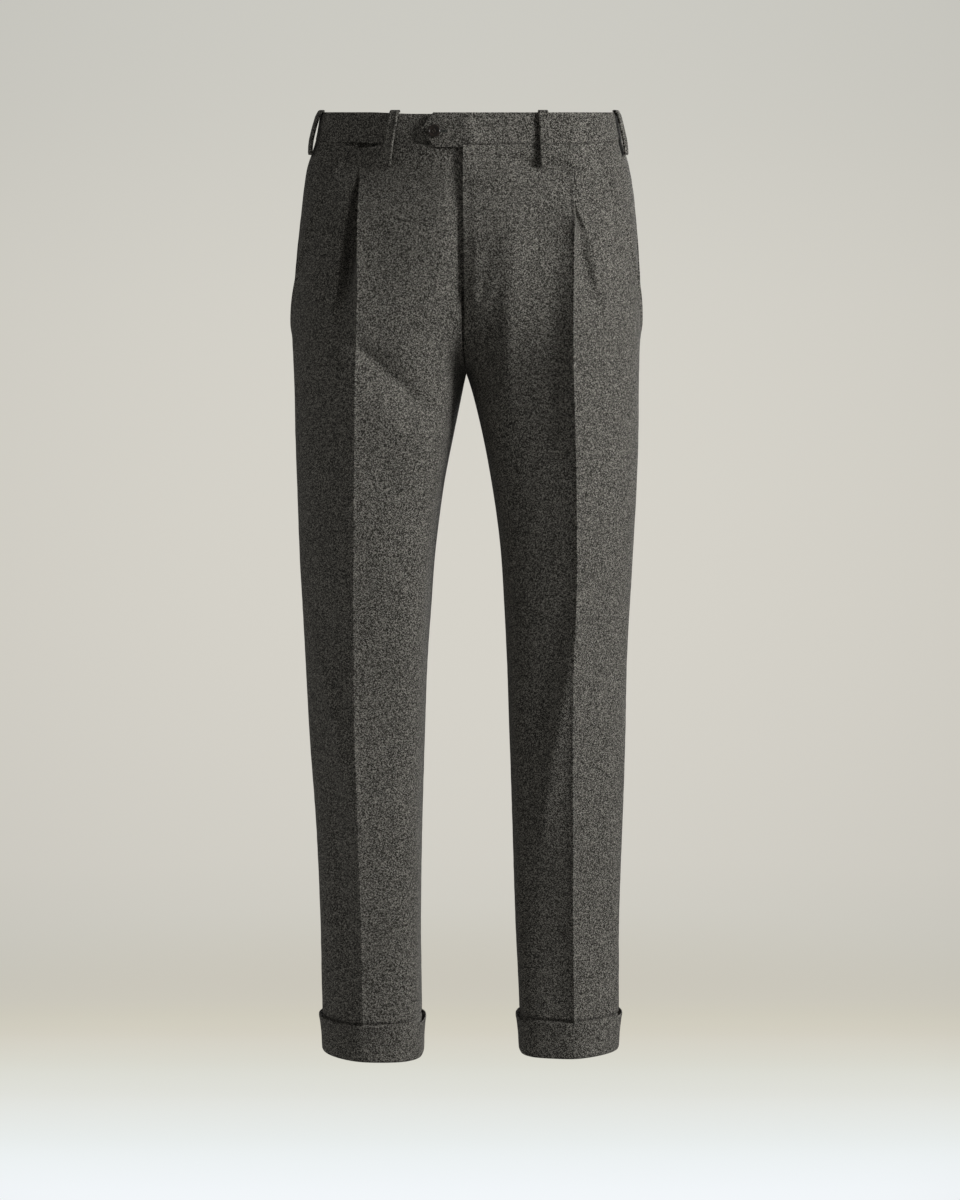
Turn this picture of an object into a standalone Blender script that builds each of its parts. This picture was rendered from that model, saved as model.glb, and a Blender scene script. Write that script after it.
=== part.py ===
"""Pleated dress trousers, filled out as on a wearer and open at the waist and the hems.

Metres, +Z up, front facing -Y, so the wearer's right is at -X. The origin is the middle of the
waist opening, level with the top of the side seams. Every cloth piece is a thin wall: its middle
surface is lofted through sections that are worked out from the tables below, then thickened.
"""

import math

import bmesh
import bpy
import numpy as np
from mathutils import Matrix, Vector

MM = 0.001

# Walls and clearances.
CLOTH_WALL = 1.1 * MM
BAND_WALL = 2.0 * MM
TURNUP_WALL = 1.6 * MM
LOOP_WALL = 1.4 * MM
SEAM_GAP = 0.3 * MM
LAYER_STEP = CLOTH_WALL + 0.35 * MM

# Waistband.
BAND_HEIGHT_FRONT = 36.2 * MM
BAND_HEIGHT_SIDE = 33.0 * MM
BAND_HEIGHT_BACK = 35.0 * MM
FRONT_DIP = 0.137
BACK_RISE = 0.095
BAND_OUT = 0.3 * MM
BAND_FRONT_Y = -110 * MM
BAND_BACK_Y = 105 * MM
TILT_ENDS_Z = -165 * MM

# Fly and tab, at the wearer's centre front.
FLY_EDGE_X = -3.2 * MM
FLY_UNDERLAP = 11 * MM
FLY_ENDS_Z = -205 * MM
FLY_FADE = 20 * MM
FLY_TAPER = 85 * MM
FLY_STEP_SHARE = 0.03
LAP_SHARE = 0.55
LAP_REACH = 11 * MM
TAB_CORNER_X = -34 * MM
TAB_POINT_X = -48 * MM
TAB_RAISE = 1.45 * MM
TAB_RAISE_FROM_X = 36 * MM
TAB_RAISE_TO_X = 8 * MM
BAND_UNDERLAP_X = 1 * MM
BAND_SINK_FROM_X = -76 * MM
BAND_SINK_TO_X = -52 * MM
BAND_TOP_FRONT_Y = -107.5 * MM
BAND_TOP_BACK_Y = 103 * MM
TAB_FRONT_DEPTH = 60 * MM

# Slanted side pocket, measured along the cloth from the side seam.
SIDE_SEAM_Y = -8 * MM
POCKET_TOP_ARC = 70 * MM
POCKET_ENDS_Z = -245 * MM
POCKET_CURVE = 1.75
POCKET_UNDERLAP = 12 * MM
FACING_ENDS_ABOVE = 12 * MM
FACING_CLEARANCE = 0.6 * MM
FACING_ROWS = 8
FACING_COLUMNS = 6

# Coin pocket, a slit in the right waist seam.
COIN_OUTER_X = 146 * MM
COIN_INNER_X = 91 * MM
COIN_SAG = 4.5 * MM
COIN_SINK = 5.0 * MM
COIN_TOP_Z = -28 * MM
COIN_BOTTOM_Z = -47 * MM
COIN_LIP_Z = -44 * MM
COIN_COLUMNS = 8

# Hems and turn-ups.
LEFT_HEM_FLATTER = 0.12
FLATTER_FROM_Z = -600 * MM
FLATTER_TO_Z = -1000 * MM
TURNUP_LOW_Z = {-1: -1050 * MM, 1: -1048.6 * MM}
TURNUP_HEIGHT = 40.5 * MM
TURNUP_TILT = 0.025
TURNUP_OUT = 1.9 * MM
TURNUP_ROWS = (1.0, 0.66, 0.33, 0.0)

# Belt loops: a strip that hooks over the band's top edge and is tacked below its seam.
LOOP_WIDTH = 10 * MM
# Its path: distance below the band's top edge and out from the body, in mm.
LOOP_PATH = (
    (-1.1, -0.5),
    (-1.7, 1.0),
    (-1.0, 2.5),
    (2.0, 3.1),
    (13, 3.6),
    (25, 3.8),
    (35, 3.3),
    (43, 2.3),
    (50, 2.0),
    (57, 1.9),
)
SIDE_LOOP_X = 150 * MM
LOOP_DEPTHS = {"front": -95 * MM, "side": 0.0, "back": 95 * MM}
# Name, front or back, x at the top and at the foot, length and bulge, in mm.
BELT_LOOPS = (
    ("belt_loop_front_r", True, -75, -84, 57, 0),
    ("belt_loop_front_l", True, 82, 84.5, 57, 0),
    ("belt_loop_side_r", True, -170, -170, 46, 2.2),
    ("belt_loop_side_l", True, 170, 170, 46, 0.8),
    ("belt_loop_back_r", False, -88, -90, 54, 0.5),
    ("belt_loop_back_l", False, 88, 90, 54, 0.5),
    ("belt_loop_back_centre", False, 0, 0, 54, 0.5),
)

# Button on the tab.
BUTTON_RADIUS = 6.9 * MM
BUTTON_HEIGHT = 2.8 * MM
BUTTON_X = -34.5 * MM
BUTTON_BELOW_TOP = 19.5 * MM
BUTTON_HOLE_RADIUS = 0.8 * MM
BUTTON_HOLE_OFFSET = 1.7 * MM
BUTTON_STEPS = 20
BUTTON_CUTTER_LENGTH = 8 * MM
BUTTON_CUTTER_SIDES = 8
# Half section of the button, from the middle of its face round to the middle of its back, as
# shares of the radius and the height.
BUTTON_PROFILE = (
    (0.0, 0.62),
    (0.58, 0.62),
    (0.74, 1.0),
    (0.9, 1.0),
    (1.0, 0.7),
    (0.97, 0.3),
    (0.78, 0.0),
    (0.0, 0.0),
)

# Half outline of the cloth's outside at each level: side seam and crease, right and left, in mm.
OUTLINE_COLUMNS = ("z", "outer_r", "outer_l", "crease_r", "crease_l")
OUTLINE = (
    (0, 160.0, 166.0, 113.0, 113.5),
    (-34, 165.5, 171.5, 113.6, 114.8),
    (-48, 170.0, 175.5, 114.0, 115.0),
    (-66, 176.4, 180.6, 114.4, 115.0),
    (-90, 180.4, 185.0, 114.9, 115.2),
    (-120, 184.2, 188.5, 115.5, 115.5),
    (-150, 187.8, 191.2, 115.8, 115.5),
    (-180, 190.5, 193.0, 115.8, 115.3),
    (-210, 193.1, 194.2, 115.5, 115.0),
    (-240, 193.6, 193.6, 116.5, 114.8),
    (-270, 192.5, 192.4, 117.5, 115.0),
    (-300, 191.3, 191.8, 118.5, 115.7),
    (-350, 190.6, 191.7, 119.0, 117.1),
    (-400, 189.1, 190.3, 119.8, 118.5),
    (-500, 185.9, 185.3, 121.3, 120.0),
    (-600, 180.4, 180.0, 122.0, 118.9),
    (-700, 175.5, 178.1, 121.5, 117.4),
    (-800, 168.8, 175.1, 119.0, 118.0),
    (-900, 164.9, 171.9, 115.8, 118.3),
    (-1000, 162.9, 172.0, 114.6, 119.7),
    (-1050, 161.5, 171.0, 114.4, 119.5),
)

# Distance of each leg's inseam from the middle plane, in mm.
INNER_COLUMNS = ("z", "inner_r", "inner_l")
INNER = (
    (-288.5, 0.2, 0.2),
    (-300, 2.7, 4.2),
    (-320, 6.9, 10.0),
    (-350, 13.1, 17.4),
    (-400, 23.3, 26.7),
    (-450, 30.6, 34.3),
    (-500, 36.3, 39.7),
    (-550, 39.8, 42.6),
    (-600, 43.4, 45.0),
    (-700, 47.2, 48.6),
    (-800, 50.2, 51.8),
    (-900, 51.7, 54.9),
    (-1000, 50.6, 59.6),
    (-1050, 50.0, 61.0),
)

# Depth of the front and back creases, the back crease's x, in mm, and the slope of the cloth on
# the outer and inner side of each crease, in degrees. Unequal slopes make the pressed edge.
DEPTH_COLUMNS = (
    "z",
    "front",
    "back",
    "back_x",
    "front_outer_slope",
    "front_inner_slope",
    "back_outer_slope",
    "back_inner_slope",
)
DEPTH = (
    (0, -88, 90, 100, 19, 12, 18, 8),
    (-36, -91, 96, 100, 20, 12, 18, 8),
    (-60, -94.5, 101, 100, 22, 11, 17, 8),
    (-90, -101, 110, 99, 23, 9, 15, 6),
    (-120, -107, 120, 98, 24, 7, 13, 4),
    (-150, -112, 130, 98, 25, 5, 12, 2),
    (-200, -118.5, 138, 99, 26, -1, 12, -3),
    (-250, -122.5, 135, 103, 27, -9, 16, -9),
    (-300, -123.5, 127, 108, 28, -17, 20, -15),
    (-350, -122, 119.5, 112, 29, -22, 23, -20),
    (-400, -118.5, 114.5, 115, 29, -25, 25, -23),
    (-500, -108, 106, 118, 29, -28, 28, -27),
    (-600, -97, 98, 119, 29, -29, 29, -29),
    (-700, -87.5, 92, 119, 29, -29, 29, -29),
    (-800, -79, 84, 118, 29, -29, 29, -29),
    (-900, -72.5, 76.5, 116.5, 28, -28, 28, -28),
    (-1000, -68.5, 71, 116, 21, -21, 23, -23),
    (-1050, -67.5, 69.5, 116, 14, -14, 17, -17),
)

# Rows of a front panel. Each runs from the side seam at z to the inner edge at (edge_y, edge_z),
# where the cloth has turned by "turn" degrees out of the fly's plane. The last four columns are
# the pleat: fold is its depth under the crease, drop how far the side part lies behind the
# crease, spread how far the fold has opened into a valley, and reach the valley's width.
FRONT_ROW_COLUMNS = ("z", "edge_y", "edge_z", "turn", "fold", "drop", "spread", "reach")
FRONT_ROWS = (
    (-36.8, -110.0, -36.8, 0, 12, 2.9, 0, 12),
    (-46, -111.3, -46, 0, 12, 2.9, 0, 12),
    (-60, -113.0, -60, 0, 12, 2.9, 0, 12),
    (-76, -115.0, -76, 1, 10.5, 3.8, 0, 12),
    (-94, -117.3, -94, 3, 7, 5.2, 0, 12),
    (-112, -119.2, -112, 5, 3, 6.4, 0, 12),
    (-130, -120.6, -130, 8, 0, 6.8, 0.2, 13),
    (-150, -121.3, -150, 11, 0, 6.2, 0.65, 18),
    (-170, -120.8, -170, 15, 0, 4.8, 1, 25),
    (-190, -118.8, -190, 20, 0, 3.0, 1, 32),
    (-208, -115.2, -209, 27, 0, 1.3, 1, 38),
    (-225, -107.5, -227, 37, 0, 0.3, 1, 42),
    (-240, -96.5, -244, 48, 0, 0, 1, 42),
    (-252, -82.5, -258, 58, 0, 0, 1, 42),
    (-264, -64.0, -271, 68, 0, 0, 1, 42),
    (-275, -42.0, -280.5, 78, 0, 0, 1, 42),
    (-285, -16.0, -286.5, 86, 0, 0, 1, 42),
    (-294, 12.0, -288.5, 90, 0, 0, 1, 42),
)
# How far each front's pleat stands open, as a share of the drop in the table.
PLEAT_OPENNESS = {-1: 1.0, 1: 0.25}
PLEAT_TURN = 0.65 * MM

# Rows of a back panel, down the centre back seam, under the seat and down the inseam.
BACK_ROW_COLUMNS = ("z", "edge_y", "edge_z", "turn")
BACK_ROWS = (
    (-36.8, 107.0, -36.8, 0),
    (-62, 112.5, -62, 0),
    (-92, 119.5, -92, 2),
    (-125, 126.5, -125, 5),
    (-160, 129.5, -160, 10),
    (-192, 127.0, -193, 19),
    (-220, 117.5, -222, 33),
    (-243, 101.0, -247, 50),
    (-261, 77.0, -268, 66),
    (-278, 46.0, -282.5, 80),
    (-294, 12.0, -288.5, 90),
)
# Heights of the rows below the crotch, shared by front and back, where the inner edge is the
# inseam. It runs straight from INSEAM_TOP_Y at the crotch to INSEAM_HEM_Y at the hem.
LEG_ROW_Z = (-308, -328, -360, -420, -500, -600, -730, -870, -1005, -1047)
INSEAM_TOP_Y = 12 * MM
INSEAM_HEM_Y = 2.3 * MM
CROTCH_Z = -288.5 * MM

# Shape of a section: lengths of the curves' handles, as shares of their reach.
SIDE_FULLNESS = 0.48
CREASE_FULLNESS_OUTER = 0.5
CREASE_FULLNESS_INNER = 0.42
CENTRE_FULLNESS = 0.36
INSEAM_FULLNESS = 0.5
# A row keeps its height near the side seam and falls to its inner edge's height late.
EDGE_FALL_POWER = 1.5
# Points crowd towards the inner edge, where a section turns most.
EDGE_CROWDING = 1.25

# Points along a row.
OUTER_SEGMENTS = 5
PLEAT_SEGMENTS = 6
INNER_SEGMENTS = 8
BACK_OUTER_SEGMENTS = 6
BACK_INNER_SEGMENTS = 6
CURVE_SAMPLES = 48
BAND_SEGMENTS = 28
# Step between the points that give the button's facing.
NORMAL_STEP = 5 * MM


# Reading the tables.


def column(table, columns, name):
    return np.array([row[columns.index(name)] for row in table], float)


def smooth_value(table, columns, name, z):
    """The column's value at a height, by a cubic through its rows with finite-difference slopes."""
    heights = -column(table, columns, "z")
    values = column(table, columns, name)
    slopes = np.gradient(values, heights)
    at = min(max(-z / MM, heights[0]), heights[-1])
    index = int(np.clip(np.searchsorted(heights, at) - 1, 0, len(heights) - 2))
    span = heights[index + 1] - heights[index]
    t = (at - heights[index]) / span
    start = values[index] * (1 + 2 * t) * (1 - t) ** 2 + slopes[index] * span * t * (1 - t) ** 2
    end = values[index + 1] * t * t * (3 - 2 * t) + slopes[index + 1] * span * t * t * (t - 1)
    return start + end


def side_name(side):
    return "r" if side < 0 else "l"


def outer_x(side, z):
    value = smooth_value(OUTLINE, OUTLINE_COLUMNS, "outer_" + side_name(side), z)
    return value * MM - CLOTH_WALL / 2


def crease_x(side, z):
    return smooth_value(OUTLINE, OUTLINE_COLUMNS, "crease_" + side_name(side), z) * MM


def inner_x(side, z):
    value = smooth_value(INNER, INNER_COLUMNS, "inner_" + side_name(side), z)
    return value * MM + CLOTH_WALL / 2


def depth(name, z):
    value = smooth_value(DEPTH, DEPTH_COLUMNS, name, z)
    return value if "slope" in name else value * MM


def front_depth(side, z):
    """The left leg is a little flatter than the right one towards the hem."""
    share = ease((FLATTER_FROM_Z - z) / (FLATTER_FROM_Z - FLATTER_TO_Z))
    flat = LEFT_HEM_FLATTER * share if side > 0 else 0.0
    return depth("front", z) * (1 - flat)


def inseam_y(z):
    share = (CROTCH_Z - z) / (CROTCH_Z - LEG_ROW_Z[-1] * MM)
    return INSEAM_TOP_Y + (INSEAM_HEM_Y - INSEAM_TOP_Y) * share


def ease(t):
    t = min(max(t, 0.0), 1.0)
    return t * t * (3 - 2 * t)


# Curves of one section. x is measured outwards from the middle plane, and mirrored at the end.


def bezier(points, t):
    a, b, c, d = (np.asarray(p, float) for p in points)
    return a * (1 - t) ** 3 + 3 * b * t * (1 - t) ** 2 + 3 * c * t * t * (1 - t) + d * t**3


def outer_quarter(side, z, front):
    """Control points from the side seam to the front or back crease."""
    x_out = outer_x(side, z)
    if front:
        crease = np.array([crease_x(side, z), front_depth(side, z)])
        slope = depth("front_outer_slope", z)
        sign = -1
    else:
        crease = np.array([depth("back_x", z), depth("back", z)])
        slope = depth("back_outer_slope", z)
        sign = 1
    seam = np.array([x_out, SIDE_SEAM_Y])
    reach = abs(crease[1] - SIDE_SEAM_Y)
    width = x_out - crease[0]
    leave = seam + np.array([0, sign * SIDE_FULLNESS * reach])
    rise = -sign * math.tan(math.radians(slope))
    arrive = crease + CREASE_FULLNESS_OUTER * width * np.array([1, rise])
    return seam, leave, arrive, crease


def inner_quarter(side, z, edge, turn, front):
    """Control points from the crease to the inner edge, a centre seam or an inseam."""
    if front:
        crease = np.array([crease_x(side, z), front_depth(side, z)])
        slope = depth("front_inner_slope", z)
        sign = -1
    else:
        crease = np.array([depth("back_x", z), depth("back", z)])
        slope = depth("back_inner_slope", z)
        sign = 1
    width = crease[0] - edge[0]
    turned = turn / 90.0
    handle = (1 - turned) * CENTRE_FULLNESS * width
    handle += turned * INSEAM_FULLNESS * abs(crease[1] - edge[1])
    angle = math.radians(turn)
    rise = sign * math.tan(math.radians(slope))
    leave = crease + CREASE_FULLNESS_INNER * width * np.array([-1, rise])
    arrive = np.array(edge) + handle * np.array([math.cos(angle), sign * math.sin(angle)])
    return crease, leave, arrive, np.array(edge)


def polyline(points, start=0.0, end=1.0, count=CURVE_SAMPLES):
    return np.array([bezier(points, t) for t in np.linspace(start, end, count + 1)])


def arcs(line):
    steps = np.linalg.norm(np.diff(line, axis=0), axis=1)
    return np.concatenate([[0], np.cumsum(steps)])


def resample(line, distances, values=None):
    """Points of a line, or values given at its points, at distances along it."""
    along = arcs(line)
    values = line if values is None else values
    return np.stack([np.interp(distances, along, values[:, k]) for k in range(2)], axis=1)


def waist_tilt(y, z):
    """Height added so that the top edge dips at the front and rises at the back."""
    fade = 1 - ease((-z - BAND_HEIGHT_FRONT) / (-TILT_ENDS_Z - BAND_HEIGHT_FRONT))
    tilt = FRONT_DIP * y if y < 0 else BACK_RISE * y
    return tilt * fade


def band_height(y):
    if y < 0:
        share = ease(y / BAND_FRONT_Y)
        return BAND_HEIGHT_SIDE + (BAND_HEIGHT_FRONT - BAND_HEIGHT_SIDE) * share
    share = ease(y / BAND_BACK_Y)
    return BAND_HEIGHT_SIDE + (BAND_HEIGHT_BACK - BAND_HEIGHT_SIDE) * share


def panel_lift(y, z):
    """The panels' top edge follows the band, which is lower at the sides than in front."""
    fade = 1 - ease((-z - BAND_HEIGHT_FRONT) / (-TILT_ENDS_Z - BAND_HEIGHT_FRONT))
    return (BAND_HEIGHT_FRONT - band_height(y)) * fade + waist_tilt(y, z)


def pocket_arc(z):
    """Distance of the slanted pocket edge from the curved side seam at a height."""
    down = (-BAND_HEIGHT_FRONT - z) / (-BAND_HEIGHT_FRONT - POCKET_ENDS_Z)
    return POCKET_TOP_ARC * (1 - min(max(down, 0.0), 1.0) ** POCKET_CURVE)


def leg_row(z, columns):
    """A row below the crotch, for the table with these columns."""
    z = z / MM
    row = {"z": z, "edge_y": inseam_y(z * MM) / MM, "edge_z": z, "turn": 90}
    row.update({"fold": 0, "drop": 0, "spread": 1, "reach": FRONT_ROWS[-1][-1]})
    return tuple(row[name] for name in columns)


def edge_inset(turn):
    """Half the seam gap, and half the wall where the cloth runs along the middle plane."""
    return SEAM_GAP / 2 + CLOTH_WALL / 2 * math.sin(math.radians(turn))


# Middle surfaces of the panels.


def fly_seam_x(z):
    """The centre front line: beside the middle plane along the fly, on it at the crotch."""
    return FLY_EDGE_X * (1 - ease((FLY_ENDS_Z - z) / FLY_TAPER))


def pleat_points(side, z, row):
    """Points of the pleat as (distance inwards from the crease, depth behind it)."""
    _, _, _, _, fold, drop, spread, reach = row
    closed_drop = 2 * LAYER_STEP
    share = PLEAT_OPENNESS[side]
    open_drop = drop * MM * share
    layered = max(closed_drop, closed_drop + (drop * MM - closed_drop) * share)
    fold = fold * MM
    width = outer_x(side, z) - crease_x(side, z)
    reach = min(reach * MM, PLEAT_SEGMENTS / (PLEAT_SEGMENTS + OUTER_SEGMENTS) * width)
    closed = (
        (0, 0),
        (-PLEAT_TURN, layered / 4),
        (0, layered / 2),
        (fold, layered / 2),
        (fold + PLEAT_TURN, layered * 3 / 4),
        (fold, layered),
        (0, layered),
    )
    points = []
    for index, (shift, behind) in enumerate(closed):
        u = index / PLEAT_SEGMENTS
        open_shift = -reach * u
        open_behind = open_drop * math.sin(math.pi * u) ** 2
        points.append(
            (
                (1 - spread) * shift + spread * open_shift,
                (1 - spread) * behind + spread * open_behind,
            )
        )
    return points, (1 - spread) * layered


def at_x(line, x):
    """The y of a section line where it passes x."""
    order = np.argsort(line[:, 0])
    return float(np.interp(x, line[order, 0], line[order, 1]))


def front_row(side, row):
    z, edge_y, edge_z, turn = (row[0] * MM, row[1] * MM, row[2] * MM, row[3])
    on_leg = turn >= 90
    inset = edge_inset(turn)
    if on_leg:
        edge_x = max(inner_x(side, edge_z), inset)
        edge = (edge_x, edge_y - SEAM_GAP / 2)
    else:
        seam = fly_seam_x(edge_z)
        edge = (side * seam + inset, edge_y)
    outer = polyline(outer_quarter(side, z, True))
    inner_controls = inner_quarter(side, z, edge, turn, True)
    inner = polyline(inner_controls)
    pleat, side_drop = pleat_points(side, z, row)
    points = []

    # From the side seam, or the pocket's slanted edge, to the pleat.
    x_crease = crease_x(side, z)
    pleat_outer_x = x_crease - pleat[-1][0]
    along = arcs(outer)
    pleat_arc = float(np.interp(-pleat_outer_x, -outer[:, 0], along))
    first_arc = pocket_arc(z) + SEAM_GAP / 2
    for index in range(OUTER_SEGMENTS):
        share = index / OUTER_SEGMENTS
        x, y = resample(outer, [first_arc + (pleat_arc - first_arc) * share])[0]
        points.append([x, y + side_drop * ease(share), z])

    # The pleat, from its outer end to the crease.
    for inwards, behind in reversed(pleat):
        x = x_crease - inwards
        line = outer if inwards <= 0 else inner
        points.append([x, at_x(line, x) + behind, z])

    # From the crease to the inner edge.
    for index in range(1, INNER_SEGMENTS + 1):
        t = 1 - (1 - index / INNER_SEGMENTS) ** EDGE_CROWDING
        x, y = bezier(inner_controls, t)
        points.append([x, y, z + (edge_z - z) * t**EDGE_FALL_POWER])
    if side < 0:
        t = 1 - FLY_STEP_SHARE * (1 - fly_share(z))
        x, y = bezier(inner_controls, t)
        points.insert(-1, [x, y, z + (edge_z - z) * t**EDGE_FALL_POWER])
    points = np.array(points)
    if not on_leg:
        lap_fly(side, points, z)
    lift_top(points, z)
    if side < 0:
        sag_coin_pocket(points, z)
    points[:, 0] *= side
    return points


def fly_share(z):
    """1 along the fly, where the right front runs on behind the left one, 0 below it."""
    return ease((z - FLY_ENDS_Z) / FLY_FADE)


def lap_fly(side, points, z):
    """The left front rises over the fly, and the right one sinks and runs on behind it."""
    seam = side * fly_seam_x(z)
    lap = 1 - ease((FLY_ENDS_Z - z) / FLY_FADE)
    for index in range(len(points) - INNER_SEGMENTS, len(points)):
        near = 1 - ease((points[index, 0] - seam - LAP_REACH) / LAP_REACH)
        step = LAYER_STEP * LAP_SHARE * lap * near
        points[index, 1] += -step if side > 0 else step
    if side < 0:
        points[-1, 0] -= FLY_UNDERLAP * fly_share(z)


def lift_top(points, z):
    for point in points:
        point[2] += panel_lift(point[1], z)


def sag_coin_pocket(points, z):
    """The slit's lower lip hangs a little."""
    if z < COIN_LIP_Z:
        return
    for point in points:
        share = (point[0] - COIN_INNER_X) / (COIN_OUTER_X - COIN_INNER_X)
        if 0 < share < 1:
            point[2] -= COIN_SAG * math.sin(math.pi * share)


def back_row(side, row):
    z, edge_y, edge_z, turn = (row[0] * MM, row[1] * MM, row[2] * MM, row[3])
    inset = edge_inset(turn)
    if turn >= 90:
        edge = (max(inner_x(side, edge_z), inset), edge_y + SEAM_GAP / 2)
    else:
        edge = (inset, edge_y)
    outer = polyline(outer_quarter(side, z, False))
    inner = inner_quarter(side, z, edge, turn, False)
    length = arcs(outer)[-1]
    first_arc = SEAM_GAP / 2
    points = []
    for index in range(BACK_OUTER_SEGMENTS):
        share = index / BACK_OUTER_SEGMENTS
        x, y = resample(outer, [first_arc + (length - first_arc) * share])[0]
        points.append([x, y, z])
    for index in range(BACK_INNER_SEGMENTS + 1):
        t = index / BACK_INNER_SEGMENTS
        x, y = bezier(inner, t)
        points.append([x, y, z + (edge_z - z) * t**EDGE_FALL_POWER])
    points = np.array(points)
    lift_top(points, z)
    points[:, 0] *= side
    return points


# The waist as one ring, for the band and what lies on it.


def centre_y(z, front):
    """Depth of the centre front or centre back line at a height near the waist."""
    table, columns = (FRONT_ROWS, FRONT_ROW_COLUMNS) if front else (BACK_ROWS, BACK_ROW_COLUMNS)
    heights = np.concatenate([[0], -column(table, columns, "z")])
    top = BAND_TOP_FRONT_Y if front else BAND_TOP_BACK_Y
    depths = np.concatenate([[top / MM], column(table, columns, "edge_y")])
    return float(np.interp(-z / MM, heights, depths)) * MM


def waist_ring(z):
    """The body's outline at a height, from the centre back round by the wearer's left."""
    halves = []
    for side in (1, -1):
        parts = (
            polyline(inner_quarter(side, z, (0, centre_y(z, False)), 0, False))[::-1],
            polyline(outer_quarter(side, z, False))[::-1][1:],
            polyline(outer_quarter(side, z, True))[1:],
            polyline(inner_quarter(side, z, (0, centre_y(z, True)), 0, True))[1:],
        )
        half = np.concatenate(parts)
        half[:, 0] *= side
        halves.append(half)
    return np.concatenate([halves[0], halves[1][::-1][1:]])


def outward(line):
    """Unit normals of an outline that runs clockwise seen from above, or of part of one."""
    along = np.gradient(line, axis=0)
    normals = np.stack([-along[:, 1], along[:, 0]], axis=1)
    return normals / np.linalg.norm(normals, axis=1)[:, None]


def front_arc(ring, x):
    """Distance along the ring to the point of its front half at x."""
    half = len(ring) // 2
    front = slice(half // 2, len(ring) - half // 2)
    return float(np.interp(-x, -ring[front, 0], arcs(ring)[front]))


def back_arc(ring, x):
    """Distance along the ring to the point of its back half at x."""
    quarter = len(ring) // 4
    along = arcs(ring)
    if x >= 0:
        return float(np.interp(x, ring[:quarter, 0], along[:quarter]))
    return float(np.interp(x, ring[-quarter:, 0], along[-quarter:]))


def ring_points(z, distances, out):
    """Points of the ring at a height, moved outwards by the distances in out."""
    ring = waist_ring(z)
    places = resample(ring, distances)
    normals = resample(ring, distances, outward(ring))
    normals /= np.linalg.norm(normals, axis=1)[:, None]
    return places + normals * np.asarray(out)[:, None]


# Turning grids of points into objects.


def new_object(name, mesh, material):
    obj = bpy.data.objects.new(name, mesh)
    obj.data.materials.append(material)
    trousers.objects.link(obj)
    return obj


def sheet(name, rows, wall, material, closed=False, flip=False):
    """A thin wall around a lofted middle surface. Each row is a list of points."""
    mesh = bpy.data.meshes.new(name)
    work = bmesh.new()
    grid = [[work.verts.new(point) for point in row] for row in rows]
    for upper, lower in zip(grid, grid[1:]):
        count = len(upper)
        for index in range(count if closed else count - 1):
            after = (index + 1) % count
            corners = [upper[index], lower[index], lower[after], upper[after]]
            work.faces.new(corners[::-1] if flip else corners)
    work.to_mesh(mesh)
    work.free()
    mesh.shade_smooth()
    obj = new_object(name, mesh, material)
    solidify = obj.modifiers.new("Wall", "SOLIDIFY")
    solidify.thickness = wall
    solidify.offset = 0
    solidify.use_quality_normals = True
    return obj


def material(name, colour, roughness, metallic=0.0):
    made = bpy.data.materials.new(name)
    made.use_nodes = True
    shader = made.node_tree.nodes["Principled BSDF"]
    shader.inputs["Base Color"].default_value = (*colour, 1)
    shader.inputs["Roughness"].default_value = roughness
    shader.inputs["Metallic"].default_value = metallic
    made.diffuse_color = (*colour, 1)
    return made


def cloth(name):
    return material(name + " flannel", (0.075, 0.075, 0.068), 0.95)


# The pieces.


def make_fronts():
    for side in (-1, 1):
        name = "front_" + side_name(side)
        legs = tuple(leg_row(z * MM, FRONT_ROW_COLUMNS) for z in LEG_ROW_Z)
        rows = [front_row(side, row) for row in FRONT_ROWS + legs]
        sheet(name, rows, CLOTH_WALL, cloth(name), flip=side > 0)


def make_backs():
    for side in (-1, 1):
        name = "back_" + side_name(side)
        legs = tuple(leg_row(z * MM, BACK_ROW_COLUMNS) for z in LEG_ROW_Z)
        rows = [back_row(side, row) for row in BACK_ROWS + legs]
        sheet(name, rows, CLOTH_WALL, cloth(name), flip=side < 0)


def make_pocket_facings():
    """The strip that shows between the side seam and the slanted pocket edge."""
    top = FRONT_ROWS[0][0] * MM
    bottom = POCKET_ENDS_Z + FACING_ENDS_ABOVE
    for side in (-1, 1):
        rows = []
        for down in np.linspace(0, 1, FACING_ROWS):
            z = top + (bottom - top) * down
            line = polyline(outer_quarter(side, z, True))
            inwards = -outward(line)
            edge = pocket_arc(z)
            row = []
            for across in np.linspace(0, 1, FACING_COLUMNS):
                arc = SEAM_GAP / 2 + (edge + POCKET_UNDERLAP - SEAM_GAP / 2) * across
                under = max(0.0, arc - edge) / POCKET_UNDERLAP
                sink = down + (1 - down) * ease(arc / edge)
                behind = (LAYER_STEP + FACING_CLEARANCE) * sink + FACING_CLEARANCE * under
                x, y = resample(line, [arc])[0] + resample(line, [arc], inwards)[0] * behind
                row.append([x * side, y, z + panel_lift(y, z)])
            rows.append(row)
        name = "pocket_facing_" + side_name(side)
        sheet(name, rows, CLOTH_WALL, cloth(name), flip=side > 0)


def make_coin_pocket():
    """The strip seen through the slit in the right waist seam."""
    distances_x = np.linspace(COIN_OUTER_X, COIN_INNER_X, COIN_COLUMNS)
    rows = []
    for z in np.linspace(COIN_TOP_Z, COIN_BOTTOM_Z, 3):
        ring = waist_ring(z)
        at = [front_arc(ring, -x) for x in distances_x]
        places = ring_points(z, at, [-COIN_SINK] * len(at))
        rows.append([[x, y, z + panel_lift(y, z)] for x, y in places])
    sheet("coin_pocket_facing", rows, CLOTH_WALL, cloth("coin_pocket_facing"))


def tab_raise(x):
    """How far the left band's front end stands out over the right one."""
    return TAB_RAISE * ease((TAB_RAISE_FROM_X - x) / (TAB_RAISE_FROM_X - TAB_RAISE_TO_X))


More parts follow.
